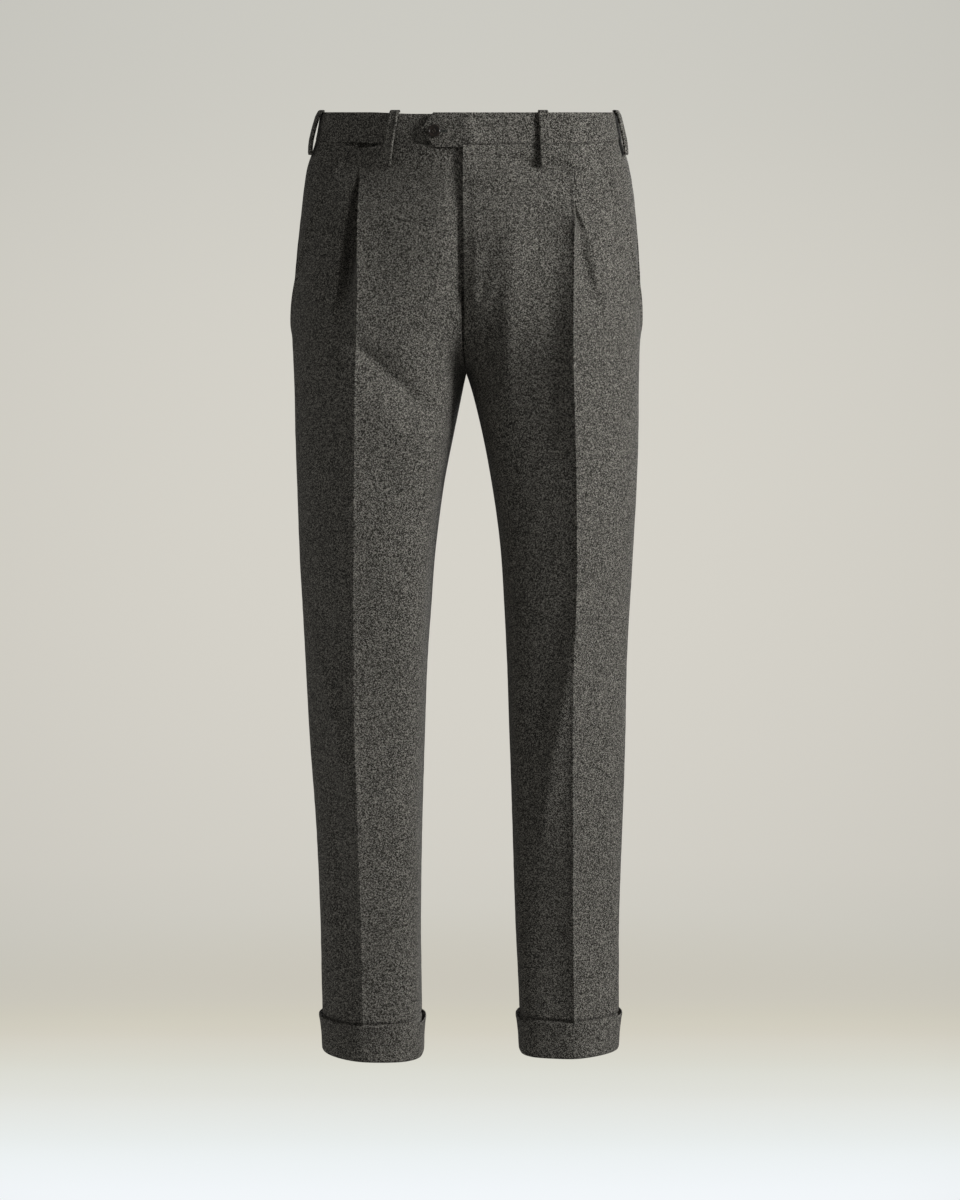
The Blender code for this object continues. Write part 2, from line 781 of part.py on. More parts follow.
def band_sink(x):
    """How far the right band's front end goes back under the tab."""
    return TAB_RAISE * ease((x - BAND_SINK_FROM_X) / (BAND_SINK_TO_X - BAND_SINK_FROM_X))


def make_waistbands():
    shares = (0.0, 0.5, 1.0)
    tab_ends = (TAB_CORNER_X, TAB_POINT_X, TAB_CORNER_X)
    for side in (-1, 1):
        rows = []
        for share, tab_end in zip(shares, tab_ends):
            z = -BAND_HEIGHT_FRONT * share
            ring = waist_ring(z)
            if side > 0:
                at = np.linspace(SEAM_GAP / 2, front_arc(ring, tab_end), BAND_SEGMENTS + 1)
            else:
                last = front_arc(ring, BAND_UNDERLAP_X)
                at = np.linspace(arcs(ring)[-1] - SEAM_GAP / 2, last, BAND_SEGMENTS + 1)
            bases = resample(ring, at)
            out = []
            for x, y in bases:
                in_front = ease(-y / TAB_FRONT_DEPTH)
                step = tab_raise(x) if side > 0 else -band_sink(x)
                out.append(BAND_OUT + step * in_front)
            places = ring_points(z, at, out)
            rows.append([[x, y, -share * band_height(y) + waist_tilt(y, 0)] for x, y in places])
        name = "waistband_" + side_name(side)
        sheet(name, rows, BAND_WALL, cloth(name), flip=side > 0)


def leg_outline(side, z):
    """One leg's closed outline near the hem, through the points of its two panels."""
    front = front_row(side, leg_row(z, FRONT_ROW_COLUMNS))
    back = back_row(side, leg_row(z, BACK_ROW_COLUMNS))
    return np.concatenate([front, back[::-1][1:-1]])[:, :2]


def outset(outline, distance):
    """A closed outline moved outwards, with its corners kept."""
    before = outline - np.roll(outline, 1, axis=0)
    after = np.roll(outline, -1, axis=0) - outline
    sides = []
    for step in (before, after):
        normal = np.stack([-step[:, 1], step[:, 0]], axis=1)
        sides.append(normal / np.linalg.norm(normal, axis=1)[:, None])
    middle = sides[0] + sides[1]
    middle /= np.linalg.norm(middle, axis=1)[:, None]
    stretch = 1 / np.maximum(0.6, (middle * sides[0]).sum(axis=1))
    centre = outline.mean(axis=0)
    sign = np.sign(((outline - centre) * middle).sum())
    return outline + middle * (sign * distance * stretch)[:, None]


def make_turnups():
    for side in (-1, 1):
        low = TURNUP_LOW_Z[side]
        rows = []
        for up in TURNUP_ROWS:
            z = low + TURNUP_HEIGHT * up
            outline = outset(leg_outline(side, z), TURNUP_OUT)
            middle = crease_x(side, z)
            rows.append([[x, y, z + TURNUP_TILT * (abs(x) - middle)] for x, y in outline])
        name = "turnup_" + side_name(side)
        sheet(name, rows, TURNUP_WALL, cloth(name), closed=True, flip=side > 0)


def band_level(below_top, y):
    """The table height that lies a distance below the band's top edge, at this depth."""
    height = band_height(y)
    if below_top <= 0:
        return 0.0
    if below_top < height:
        return -BAND_HEIGHT_FRONT * below_top / height
    return -below_top - (BAND_HEIGHT_FRONT - height)


def loop_arc(ring, in_front, x):
    """Distance along the ring to a loop's middle line."""
    if abs(x) > SIDE_LOOP_X:
        index = int(np.argmax(ring[:, 0] * np.sign(x)))
        return float(arcs(ring)[index])
    return front_arc(ring, x) if in_front else back_arc(ring, x)


def make_belt_loops():
    total = LOOP_PATH[-1][0]
    for name, in_front, top_x, foot_x, length, bulge in BELT_LOOPS:
        y = LOOP_DEPTHS[name.split("_")[2]]
        rows = []
        for below, out in LOOP_PATH:
            down = max(below / total, 0.0)
            below_top = below * MM * (length / total if below > 0 else 1)
            z = band_level(below_top, y)
            ring = waist_ring(z)
            middle = loop_arc(ring, in_front, (top_x + (foot_x - top_x) * down) * MM)
            around = arcs(ring)[-1]
            stand_out = (out + bulge * math.sin(math.pi * down)) * MM
            row = []
            for across in (-0.5, 0.5):
                distance = (middle + across * LOOP_WIDTH) % around
                place = ring_points(z, [distance], [stand_out])[0]
                height = -below_top if below <= 0 else 0.0
                if below > 0:
                    height = max(z + panel_lift(place[1], z), -below_top + waist_tilt(place[1], 0))
                row.append([place[0], place[1], height])
                if below <= 0:
                    row[-1][2] += waist_tilt(place[1], 0)
            rows.append(row)
        sheet(name, rows, LOOP_WALL, cloth(name))


def make_button():
    """A turned disc with a raised rim and four sewing holes, on the tab's outer face."""
    mesh = bpy.data.meshes.new("waist_button")
    work = bmesh.new()
    points = [work.verts.new((r * BUTTON_RADIUS, 0, h * BUTTON_HEIGHT)) for r, h in BUTTON_PROFILE]
    for first, second in zip(points, points[1:]):
        work.edges.new((first, second))
    work.to_mesh(mesh)
    work.free()
    button = new_object("waist_button", mesh, material("Dark horn", (0.03, 0.02, 0.015), 0.3))
    screw = button.modifiers.new("Turn", "SCREW")
    screw.steps = screw.render_steps = BUTTON_STEPS
    screw.use_merge_vertices = True
    screw.merge_threshold = 0.00002
    screw.use_smooth_shade = True

    z = -BUTTON_BELOW_TOP
    ring = waist_ring(z)
    arc = front_arc(ring, BUTTON_X)
    rest = BAND_OUT + TAB_RAISE + BAND_WALL / 2 + SEAM_GAP
    place = ring_points(z, [arc], [rest])[0]
    above_arc = front_arc(waist_ring(z + NORMAL_STEP), BUTTON_X)
    above = ring_points(z + NORMAL_STEP, [above_arc], [rest])[0]
    beside = ring_points(z, [arc - NORMAL_STEP], [rest])[0]
    up = Vector((above[0] - place[0], above[1] - place[1], NORMAL_STEP))
    across = Vector((beside[0] - place[0], beside[1] - place[1], 0))
    face = up.cross(across).normalized()
    if face.y > 0:
        face = -face
    turn = face.to_track_quat("Z", "Y").to_matrix().to_4x4()
    centre = Vector((place[0], place[1], z + waist_tilt(place[1], 0)))
    button.matrix_world = Matrix.Translation(centre) @ turn

    for index in range(4):
        angle = math.radians(45 + 90 * index)
        bpy.ops.mesh.primitive_cylinder_add(
            vertices=BUTTON_CUTTER_SIDES,
            radius=BUTTON_HOLE_RADIUS,
            depth=BUTTON_CUTTER_LENGTH,
        )
        cutter = bpy.context.object
        cutter.name = f"cutter_button_hole_{index + 1}"
        for collection in list(cutter.users_collection):
            collection.objects.unlink(cutter)
        cutters.objects.link(cutter)
        offset = Matrix.Translation(
            (
                BUTTON_HOLE_OFFSET * math.cos(angle),
                BUTTON_HOLE_OFFSET * math.sin(angle),
                BUTTON_HEIGHT / 2,
            )
        )
        cutter.matrix_world = button.matrix_world @ offset
        cutter.hide_render = True
        cutter.display_type = "WIRE"
        hole = button.modifiers.new(f"Hole {index + 1}", "BOOLEAN")
        hole.operation = "DIFFERENCE"
        hole.object = cutter


for old in list(bpy.data.objects):
    bpy.data.objects.remove(old)
trousers = bpy.data.collections.new("Pleated dress trousers")
cutters = bpy.data.collections.new("Cutters")
bpy.context.scene.collection.children.link(trousers)
bpy.context.scene.collection.children.link(cutters)

make_fronts()
make_backs()
make_pocket_facings()
make_coin_pocket()
make_waistbands()
make_turnups()
make_belt_loops()
make_button()
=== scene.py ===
import math

import bmesh
import bpy
import numpy as np
from mathutils import Matrix, Vector


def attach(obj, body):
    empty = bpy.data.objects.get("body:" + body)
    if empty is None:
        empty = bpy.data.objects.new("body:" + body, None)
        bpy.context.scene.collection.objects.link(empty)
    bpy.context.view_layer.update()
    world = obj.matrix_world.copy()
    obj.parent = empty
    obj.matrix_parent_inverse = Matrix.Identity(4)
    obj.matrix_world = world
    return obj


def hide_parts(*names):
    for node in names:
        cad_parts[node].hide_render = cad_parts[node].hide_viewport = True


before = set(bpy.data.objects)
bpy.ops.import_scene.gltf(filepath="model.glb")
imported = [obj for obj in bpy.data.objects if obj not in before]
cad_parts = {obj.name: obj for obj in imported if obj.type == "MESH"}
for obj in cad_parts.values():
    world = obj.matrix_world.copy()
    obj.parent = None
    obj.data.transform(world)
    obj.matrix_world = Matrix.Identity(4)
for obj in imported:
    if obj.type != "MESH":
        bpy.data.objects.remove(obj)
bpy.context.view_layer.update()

scene = bpy.context.scene
mm = 0.001  # every size below is in mm until it becomes a mesh
print("Frame loaded with", len(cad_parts), "nodes")


# Small helpers.


def ease(t):
    t = np.clip(t, 0.0, 1.0)
    return t * t * (3 - 2 * t)


def bell(distance, width):
    return np.exp(-((distance / width) ** 2))


def unit(vectors):
    return vectors / np.maximum(np.linalg.norm(vectors, axis=-1, keepdims=True), 1e-9)


def table(columns, *rows):
    return dict(zip(columns.split(), np.array(rows, float).T))


# A smooth curve through values at knots, read at other places.
def smoothAt(knots, values, at):
    slopes = np.gradient(values, knots)
    at = np.clip(at, knots[0], knots[-1])
    index = np.clip(np.searchsorted(knots, at) - 1, 0, len(knots) - 2)
    span = knots[index + 1] - knots[index]
    t = (at - knots[index]) / span
    start = values[index] * (1 + 2 * t) * (1 - t) ** 2 + slopes[index] * span * t * (1 - t) ** 2
    end = values[index + 1] * t * t * (3 - 2 * t) + slopes[index + 1] * span * t * t * (t - 1)
    return start + end


def valueAt(columns, name, z):
    return smoothAt(-columns["z"], columns[name], -np.asarray(z, float))


def rowValues(rows, z):
    return {name: float(valueAt(rows, name, z)) for name in rows if name != "z"}


def bezier(controls, t):
    a, b, c, d = (np.asarray(p, float) for p in controls)
    t = np.asarray(t, float)[..., None]
    return a * (1 - t) ** 3 + 3 * b * t * (1 - t) ** 2 + 3 * c * t * t * (1 - t) + d * t**3


def arcsOf(line):
    steps = np.linalg.norm(np.diff(line, axis=0), axis=1)
    return np.concatenate([[0], np.cumsum(steps)])


# Points of a line, or values given at its points, at distances along it.
def along(line, distances, values=None):
    values = line if values is None else values
    arcs = arcsOf(line)
    return np.stack([np.interp(distances, arcs, column) for column in values.T], axis=1)


def smoothPath(points, count):
    points = np.array(points, float)
    arcs = arcsOf(points)
    at = np.linspace(0, arcs[-1], count)
    return np.stack([smoothAt(arcs, column, at) for column in points.T], axis=1)


# Steps from 0 to 1, crowded towards both ends.
def crowded(count, strength):
    u = np.linspace(0, 1, count + 1)
    return u - strength * np.sin(2 * math.pi * u) / (2 * math.pi)


# Soft random hills of a given size, the same on each run.
def softNoise(u, v, size, seed):
    cells, offset = 64, 100  # the offset keeps every place on the lattice's positive side
    lattice = np.random.default_rng(seed).uniform(-1, 1, (cells, cells))
    x, y = np.asarray(u) / size[0] + offset, np.asarray(v) / size[1] + offset
    i, j = np.floor(x).astype(int), np.floor(y).astype(int)
    a, b = ease(x - i), ease(y - j)
    rows = []
    for step in (0, 1):
        near = lattice[i % cells, (j + step) % cells]
        far = lattice[(i + 1) % cells, (j + step) % cells]
        rows.append(near * (1 - a) + far * a)
    return rows[0] * (1 - b) + rows[1] * b


# The garment's form.

body = {
    "wall": 1.1,
    "layerStep": 1.45,  # from one layer of a fold to the next
    "seamGap": 0.3,
    "sideSeamY": -8,
    "sideFullness": 0.48,
    "creaseFullnessOuter": 0.5,
    "creaseFullnessInner": 0.42,
    "creaseLeast": 0.02,  # the least that the cloth's slope changes at a crease
    "legFullness": {-1: 0.48, 1: 0.46},  # added to the inner fronts of the legs
    "legFromZ": -230,
    "legFade": 120,
    "centreFullness": {-1: 0.2, 1: 0.5},
    "backCentreFullness": 0.36,
    "inseamFullness": 0.5,
    "inseamLegFullness": 0.34,
    "crotchZ": -288.5,
    "crotchBlend": 22,
    "hemZ": -1047,
    "inseamTopY": 12,
    "inseamHemY": 2.3,
    "leftHemFlatter": 0.12,
    "waistBack": {-1: 20, 1: 6},  # how far the front creases lie back at the waist
    "waistBackEndsZ": -140,
    "waistBackFade": 90,
    "flatterFromZ": -600,
    "flatterToZ": -1000,
    "centreX": 100.0,  # inside each half and each leg
    "lineSteps": 96,
}

# Half outline at each height: side seam and crease, right and left.
outline = table(
    "z outerR outerL creaseR creaseL",
    (0, 160.0, 166.0, 113.0, 113.5),
    (-34, 165.5, 171.5, 113.6, 114.8),
    (-48, 170.0, 175.5, 114.0, 115.0),
    (-66, 176.4, 180.6, 114.4, 115.0),
    (-90, 180.4, 185.0, 114.9, 115.2),
    (-120, 184.2, 188.5, 115.5, 115.5),
    (-150, 187.8, 191.2, 115.8, 115.5),
    (-180, 190.5, 193.0, 115.8, 115.3),
    (-210, 193.1, 194.2, 115.5, 115.0),
    (-240, 193.6, 193.6, 116.5, 114.8),
    (-270, 192.5, 192.4, 117.5, 115.0),
    (-300, 191.3, 191.8, 118.5, 115.7),
    (-350, 190.6, 191.7, 119.0, 117.1),
    (-400, 189.1, 190.3, 119.8, 118.5),
    (-500, 185.9, 185.3, 121.3, 120.0),
    (-600, 180.4, 180.0, 122.0, 118.9),
    (-700, 175.5, 178.1, 121.5, 117.4),
    (-800, 168.8, 175.1, 119.0, 118.0),
    (-900, 164.9, 171.9, 115.8, 118.3),
    (-1000, 162.9, 172.0, 114.6, 119.7),
    (-1050, 161.5, 171.0, 114.4, 119.5),
)

# Distance of each inseam from the middle plane.
inner = table(
    "z innerR innerL",
    (-288.5, 0.2, 0.2),
    (-300, 2.7, 4.2),
    (-320, 6.9, 10.0),
    (-350, 13.1, 17.4),
    (-400, 23.3, 26.7),
    (-450, 30.6, 34.3),
    (-500, 36.3, 39.7),
    (-550, 39.8, 42.6),
    (-600, 43.4, 45.0),
    (-700, 47.2, 48.6),
    (-800, 50.2, 51.8),
    (-900, 51.7, 54.9),
    (-1000, 50.6, 59.6),
    (-1050, 50.0, 61.0),
)

# Depth of the creases, the back crease's x, and the cloth's slope on each side of them in degrees,
# for the inner side of the fronts right and left.
depths = table(
    "z front back backX frontOut frontInR frontInL backOut backIn",
    (0, -88, 90, 100, 21, 37, 16, 18, 8),
    (-36, -91, 96, 100, 22, 36, 16, 18, 8),
    (-60, -94.5, 101, 100, 25, 30, 15, 17, 8),
    (-90, -101, 110, 99, 27, 21, 12, 15, 6),
    (-120, -107, 120, 98, 29, 15, 7, 13, 4),
    (-150, -112, 130, 98, 30, 10, -2, 12, 2),
    (-200, -118.5, 138, 99, 32, 7, -16, 12, -3),
    (-250, -122.5, 135, 103, 33, 2, -24, 16, -9),
    (-300, -123.5, 127, 108, 34, -5, -26, 20, -15),
    (-350, -122, 119.5, 112, 35, -9, -26, 23, -20),
    (-400, -118.5, 114.5, 115, 35, -11, -24, 25, -23),
    (-500, -108, 106, 118, 36, -5, -24, 28, -27),
    (-600, -97, 98, 119, 36, -6, -24, 29, -29),
    (-700, -87.5, 92, 119, 36, -12, -24, 29, -29),
    (-800, -79, 84, 118, 35, -12, -23, 29, -29),
    (-900, -72.5, 76.5, 116.5, 32, -9, -24, 28, -28),
    (-1000, -68.5, 71, 116, 23, -3, -20, 23, -23),
    (-1050, -67.5, 69.5, 116, 15, -1, -15, 17, -17),
)

# A front's rows: where its inner edge lies and how far it has turned.
frontRows = table(
    "z edgeY edgeZ turn",
    (-36.8, -110.0, -36.8, -11),
    (-56, -112.5, -56, -10),
    (-76, -115.0, -76, -7),
    (-94, -117.3, -94, -3),
    (-112, -118.6, -112, 5),
    (-130, -118.6, -130, 12),
    (-150, -117.2, -150, 20),
    (-170, -114.6, -170, 26),
    (-190, -110.8, -190, 31),
    (-208, -105.6, -209, 37),
    (-225, -98.5, -227, 44),
    (-240, -89.5, -244, 52),
    (-252, -77.5, -258, 60),
    (-264, -61.0, -271, 69),
    (-275, -40.5, -280.5, 78),
    (-285, -16.0, -286.5, 86),
    (-294, 12.0, -288.5, 90),
)

# The pleats. "fold" is how far a layer is folded in behind the crease, until it has spread into a
# trough, "deep" at "bottom" from the crease, that rises to a ridge at "ridge". From there the side
# part comes up again by "sink" to "reach". The right one hangs wide open, and the left one is
# nearly shut at its top.
pleatRows = {
    -1: table(
        "z fold spread deep sink bottom ridge under reach",
        (-36.8, 0, 1, 0, 0, 1.5, 3, 0, 16),
        (-60, 0, 1, 0, 0, 1.2, 3, 0, 20),
        (-68, 0, 1, 1.0, 0.4, 1.0, 3, 0.2, 26),
        (-76, 0, 1, 4.0, 1.2, 1.0, 4, 0.8, 32),
        (-94, 0, 1, 12.5, 2.8, 1.6, 7.5, 2.4, 40),
        (-112, 0, 1, 17.0, 3.8, 2.6, 10.5, 3.4, 46),
        (-130, 0, 1, 20.5, 4.3, 3.6, 13.5, 3.8, 50),
        (-150, 0, 1, 22.5, 4.3, 5.4, 16.3, 3.2, 54),
        (-170, 0, 1, 22.0, 4.0, 8.6, 18.8, 1.6, 56),
        (-190, 0, 1, 18.5, 3.4, 12.4, 21.4, 0.4, 56),
        (-208, 0, 1, 12.5, 2.6, 16.0, 24, 0, 56),
        (-225, 0, 1, 6.0, 1.5, 19.5, 26.5, 0, 56),
        (-240, 0, 1, 2.4, 0.6, 23.2, 28.8, 0, 56),
        (-256, 0, 1, 0, 0, 25, 30, 0, 56),
        (-294, 0, 1, 0, 0, 25, 30, 0, 56),
    ),
    1: table(
        "z fold spread deep sink bottom ridge under reach",
        (-36.8, 0, 1, 0, 0, 1.5, 3, 0, 16),
        (-60, 0, 1, 0, 0, 1.5, 3, 0, 20),
        (-68, 0, 1, 0.5, 0.4, 1.5, 3, 0, 26),
        (-76, 3, 0.5, 2.4, 0.9, 1.5, 3.5, 0, 32),
        (-94, 5, 0.3, 2.8, 1.2, 1.6, 4, 0, 40),
        (-112, 4, 0.5, 4.6, 1.6, 2.0, 6.5, 0, 46),
        (-130, 0, 0.95, 8.4, 1.8, 3.2, 10.5, 0, 50),
        (-150, 0, 1, 9.6, 1.6, 7.0, 16, 0, 54),
        (-170, 0, 1, 9.2, 1.2, 12, 21, 0, 56),
        (-190, 0, 1, 6.8, 0.8, 17, 27, 0, 56),
        (-208, 0, 1, 2.4, 0.4, 22, 32, 0, 56),
        (-222, 0, 1, 0.6, 0, 26, 36, 0, 56),
        (-236, 0, 1, 0, 0, 28, 36, 0, 56),
        (-294, 0, 1, 0, 0, 28, 36, 0, 56),
    ),
}

backRows = table(
    "z edgeY edgeZ turn",
    (-36.8, 107.0, -36.8, 0),
    (-62, 112.5, -62, 0),
    (-92, 119.5, -92, 2),
    (-125, 126.5, -125, 5),
    (-160, 129.5, -160, 10),
    (-192, 127.0, -193, 19),
    (-220, 117.5, -222, 33),
    (-243, 101.0, -247, 50),
    (-261, 77.0, -268, 66),
    (-278, 46.0, -282.5, 80),
    (-294, 12.0, -288.5, 90),
)

waist = {
    "seamZ": -36.2,  # the band's lower edge in the tables
    "heightFront": 33.0,
    "heightSide": 29.6,
    "heightBack": 32.5,
    "frontY": -110,
    "backY": 105,
    "frontDip": 0.137,
    "backRise": 0.095,
    "tiltEndsZ": -165,
    "topFrontY": -107.5,
    "topBackY": 103,
    "frontTurn": -11,
}


def letter(side):
    return "R" if side < 0 else "L"  # the wearer's right is at -X


def nodeOf(name, side):
    return name + ("_r" if side < 0 else "_l")


def inseamY(z):
    share = (body["crotchZ"] - z) / (body["crotchZ"] - body["hemZ"])
    return body["inseamTopY"] + (body["inseamHemY"] - body["inseamTopY"]) * share


def outerX(side, z):
    return float(valueAt(outline, "outer" + letter(side), z)) - body["wall"] / 2


def creaseX(side, z):
    return float(valueAt(outline, "crease" + letter(side), z))


def innerX(side, z):
    return float(valueAt(inner, "inner" + letter(side), z)) + body["wall"] / 2


def creasePoint(side, z, front):
    if not front:
        return np.array([valueAt(depths, "backX", z), valueAt(depths, "back", z)])
    share = ease((body["flatterFromZ"] - z) / (body["flatterFromZ"] - body["flatterToZ"]))
    flat = body["leftHemFlatter"] * share if side > 0 else 0.0
    rise = ease((z - body["waistBackEndsZ"]) / body["waistBackFade"])
    back = body["waistBack"][side] * rise
    return np.array([creaseX(side, z), valueAt(depths, "front", z) * (1 - flat) + back])


def slopeAt(name, z):
    return math.tan(math.radians(valueAt(depths, name, z)))


# A section's control points from the side seam to a crease. x counts outwards from the middle.
def outerQuarter(side, z, front):
    sign, name = (-1, "frontOut") if front else (1, "backOut")
    slope = slopeAt(name, z)
    if front:
        slope = max(slope, slopeAt("frontIn" + letter(side), z) + body["creaseLeast"])
    crease = creasePoint(side, z, front)
    seam = np.array([outerX(side, z), body["sideSeamY"]])
    leave = seam + (0, sign * body["sideFullness"] * abs(crease[1] - seam[1]))
    width = body["creaseFullnessOuter"] * (seam[0] - crease[0])
    arrive = crease + width * np.array([1, -sign * slope])
    return seam, leave, arrive, crease


# And on from the crease to the centre seam or inseam, where the cloth has turned by turn degrees.
def innerQuarter(side, z, edge, turn, front):
    sign, name = (-1, "frontIn" + letter(side)) if front else (1, "backIn")
    crease = creasePoint(side, z, front)
    width = crease[0] - edge[0]
    fullness = body["creaseFullnessInner"]
    square = ease((body["legFromZ"] - z) / body["legFade"]) if front else 0.0
    fullness += body["legFullness"][side] * square
    turned = max(turn, 0) / 90.0
    centre = body["centreFullness"][side] if front else body["backCentreFullness"]
    inseam = body["inseamFullness"] + body["inseamLegFullness"] * square
    handle = (1 - turned) * centre * width + turned * inseam * abs(crease[1] - edge[1])
    angle = math.radians(turn)
    leave = crease + fullness * width * np.array([-1, sign * slopeAt(name, z)])
    arrive = np.array(edge) + handle * np.array([math.cos(angle), sign * math.sin(angle)])
    return crease, leave, arrive, np.array(edge)


def curve(controls):
    return bezier(controls, np.linspace(0, 1, body["lineSteps"] + 1))


def waistFade(z):
    top = waist["seamZ"]
    return 1 - ease((top - z) / (top - waist["tiltEndsZ"]))


def waistTilt(y, z):
    return np.where(y < 0, waist["frontDip"], waist["backRise"]) * y * waistFade(z)


def bandHeight(y):
    front = ease(y / waist["frontY"]) * (waist["heightFront"] - waist["heightSide"])
    back = ease(y / waist["backY"]) * (waist["heightBack"] - waist["heightSide"])
    return waist["heightSide"] + np.where(y < 0, front, back)


def panelLift(y, z):
    return -(waist["seamZ"] + bandHeight(y)) * waistFade(z) + waistTilt(y, z)


# A row's values at a height. Below the crotch its inner edge is the inseam.
def rowAt(rows, z):
    row = rowValues(rows, z)
    lowest = rows["z"][-1]
    row["onLeg"] = z < lowest
    if row["onLeg"]:
        row["edgeZ"] = z + (row["edgeZ"] - lowest) * (1 - ease((lowest - z) / body["crotchBlend"]))
        row["edgeY"] = inseamY(row["edgeZ"])
    return row


# Heights of a panel's rows, closer where its inner edge runs round the crotch.
def rowHeights(rows):
    top, low = rows["z"][0], body["hemZ"]
    z = np.linspace(top, low, cloth["rowSamples"])
    edges = [rowAt(rows, height) for height in z]
    edge = np.array([(row["edgeY"], row["edgeZ"]) for row in edges])
    steps = np.maximum(np.linalg.norm(np.diff(edge, axis=0), axis=1), -np.diff(z))
    travel = np.concatenate([[0], np.cumsum(steps)])
    even = np.interp(np.arange(0, travel[-1], cloth["rowStep"]), travel, z)
    even = even[even < top - cloth["topRowsReach"]]
    fine = np.arange(*cloth["tuckRows"])
    even = even[(even > fine[0] + 1) | (even < fine[-1] - 1)]
    even = np.sort(np.concatenate([even, fine]))[::-1]
    return np.concatenate([top - np.array(cloth["topRows"]), even, [low]])


# Folds, pressed creases and seams, raised or sunk along the cloth's outward side.

# One fold a row: piece, x and z of both ends, sideways bow, half width, height (minus for a
# trough), and how round its line is.
folds = (
    # Beside the fly.
    ("front", -3, -62, -2, -290, 0, 17, -3.0, 7),
    ("front", 3, -62, 2, -290, 0, 15, -2.6, 6),
    ("front", 36, -126, 12, -236, -2, 8, -1.7, 3),
    ("front", 40, -180, 14, -300, -2, 11, -1.8, 4),
    ("front", 52, -110, 43, -356, 0, 17, 5.4, 6),
    ("front", 96, -110, 92, -420, 0, 18, -3.0, 7),
    ("front", 26, -66, 132, -72, 3, 8, -7.0, 3),
    ("front", -2, -92, 62, -78, 0, 9, 6.4, 4),
    ("front", 110, -62, 114, -150, 0, 4, -1.8, 2),
    # Under the wearer's left pleat.
    ("front", 102, -96, 156, -240, 0, 10, 5.6, 3),
    # Across the thighs.
    ("front", -142, -242, -10, -350, 0, 30, -14.0, 2),
    ("front", -108, -324, -34, -376, -2, 24, 4.5, 10),
    ("front", -100, -110, -84, -300, 0, 22, -1.6, 12),
    ("front", 104, -336, 30, -384, 5, 15, -1.4, 9),
    # Below the slanted pocket.
    ("front", -150, -60, -178, -190, 3, 9, -1.6, 4),
    ("front", -140, -64, -166, -200, 3, 9, 0.9, 5),
    # Along the legs.
    ("front", -170, -560, -118, -820, 5, 10, 3.8, 5),
    ("front", -152, -700, -120, -1000, -4, 14, -4.0, 8),
    ("front", -116, -544, -94, -554, 0, 7, -0.8, 5),
    ("front", -80, -560, -100, -705, 6, 16, -0.8, 12),
    ("front", 128, -520, 72, -860, 0, 20, 7.2, 5),
    ("front", 110, -530, 50, -860, 0, 13, -4.2, 6),
    ("front", 92, -700, 62, -925, 0, 12, -1.6, 8),
    ("front", 104, -470, 110, -640, 0, 10, -1.4, 7),
    ("front", 150, -520, 138, -700, 0, 16, -0.9, 12),
    # The seat and the backs of the legs.
    ("back", -14, -298, -104, -236, 9, 12, -2.6, 8),
    ("back", -22, -322, -120, -280, 8, 15, 2.2, 10),
    ("back", -26, -352, -112, -312, 6, 13, -2.2, 9),
    ("back", 14, -300, 96, -244, -9, 13, -2.9, 8),
    ("back", 24, -330, 128, -276, -8, 14, 2.4, 10),
    ("back", 30, -366, 104, -330, -6, 12, -1.6, 8),
    ("back", -60, -70, -72, -160, 4, 14, -1.3, 10),
    ("back", 58, -66, 66, -150, -4, 12, -1.1, 9),
    ("back", -60, -528, -158, -556, -4, 12, -1.5, 8),
    ("back", -66, -560, -150, -584, -3, 13, 1.2, 9),
    ("back", 64, -540, 160, -562, 4, 13, -1.7, 8),
    ("back", 70, -578, 148, -598, 3, 11, 1.2, 9),
    ("back", -128, -640, -150, -880, 4, 15, -1.2, 10),
    ("back", 92, -700, 84, -930, -4, 14, -1.3, 10),
)

# Shaping darts in the backs: x, depth, half width, length and fade.
darts = ((-88, 1.2, 1.6, 96, 40), (88, 1.2, 1.6, 96, 40))

cloth = {
    "rowStep": 4.3,
    "rowSamples": 1200,
    "topRows": (0, 0.6, 1.3, 2.3),  # below a panel's top, round the waist seam
    "topRowsReach": 3,
    # Where the leg tucks in behind the turn-up's top edge.
    "tuckRows": (-999, -1017, -0.9),
    "tuckAbove": 0.5,
    "tuckDepth": 2.2,
    "tuckWidth": 2.2,
    "outerColumns": 34,
    "pleatColumns": (9, 7, 9, 7),
    "innerColumns": 54,
    "backColumns": 46,
    "crowding": 0.8,  # of the columns towards a part's two edges
    "sideCrowding": 1.5,
    "edgeLean": 1.5,  # how late a row turns down towards its inner edge
    "foldTaper": 0.32,  # share of a fold's length at each end
    "foldFall": 0.6,  # of its half width
    "creaseHeight": 1.0,
    "creaseWidth": 2.2,
    # From where the creases are pressed, and over what height they fade in.
    "pressed": {"front": (-70, 60), "back": (-230, 120)},
    "seamDepth": 0.75,
    "seamWidth": 1.3,
    "seamMask": 14,
    "waistMask": 30,
    "hemMask": 40,
    "waistSeamDepth": 0.45,
    "waistSeamWidth": 1.1,
    "drape": 0.55,
    "drapeSize": (46, 120),
    "fineDrape": 0.35,
    "fineDrapeSize": (19, 60),
    "pucker": 0.16,
    "puckerSize": 9,
    "rim": 0.35,
    "rimSegments": 2,
    "rimAngle": 65,
    "measureEvery": 8,  # columns, for a sheet's length
    "crotchRows": 7,
    "crotchFrom": (-205, 50),
    "crotchTo": (-430, 70),
    "crotchInside": (1, 24),  # gap and fade at the inner edge
    "crotchOutside": 50,
    "mapShift": (137.0, 0.6),  # so that no two pieces share their flecks
    # The allowance of the seam under the waistband: height above the panel's top, and depth.
    "allowance": ((1.5, 2.3), (1.05, 1.95), (0.5, 1.35), (0.15, 0.85)),
}


# Where each random surface starts, before the side is added.
seeds = {
    "drape": 11,
    "fineDrape": 21,
    "innerSeam": 31,
    "outerSeam": 41,
    "waistband": 51,
    "turnUp": 61,
}


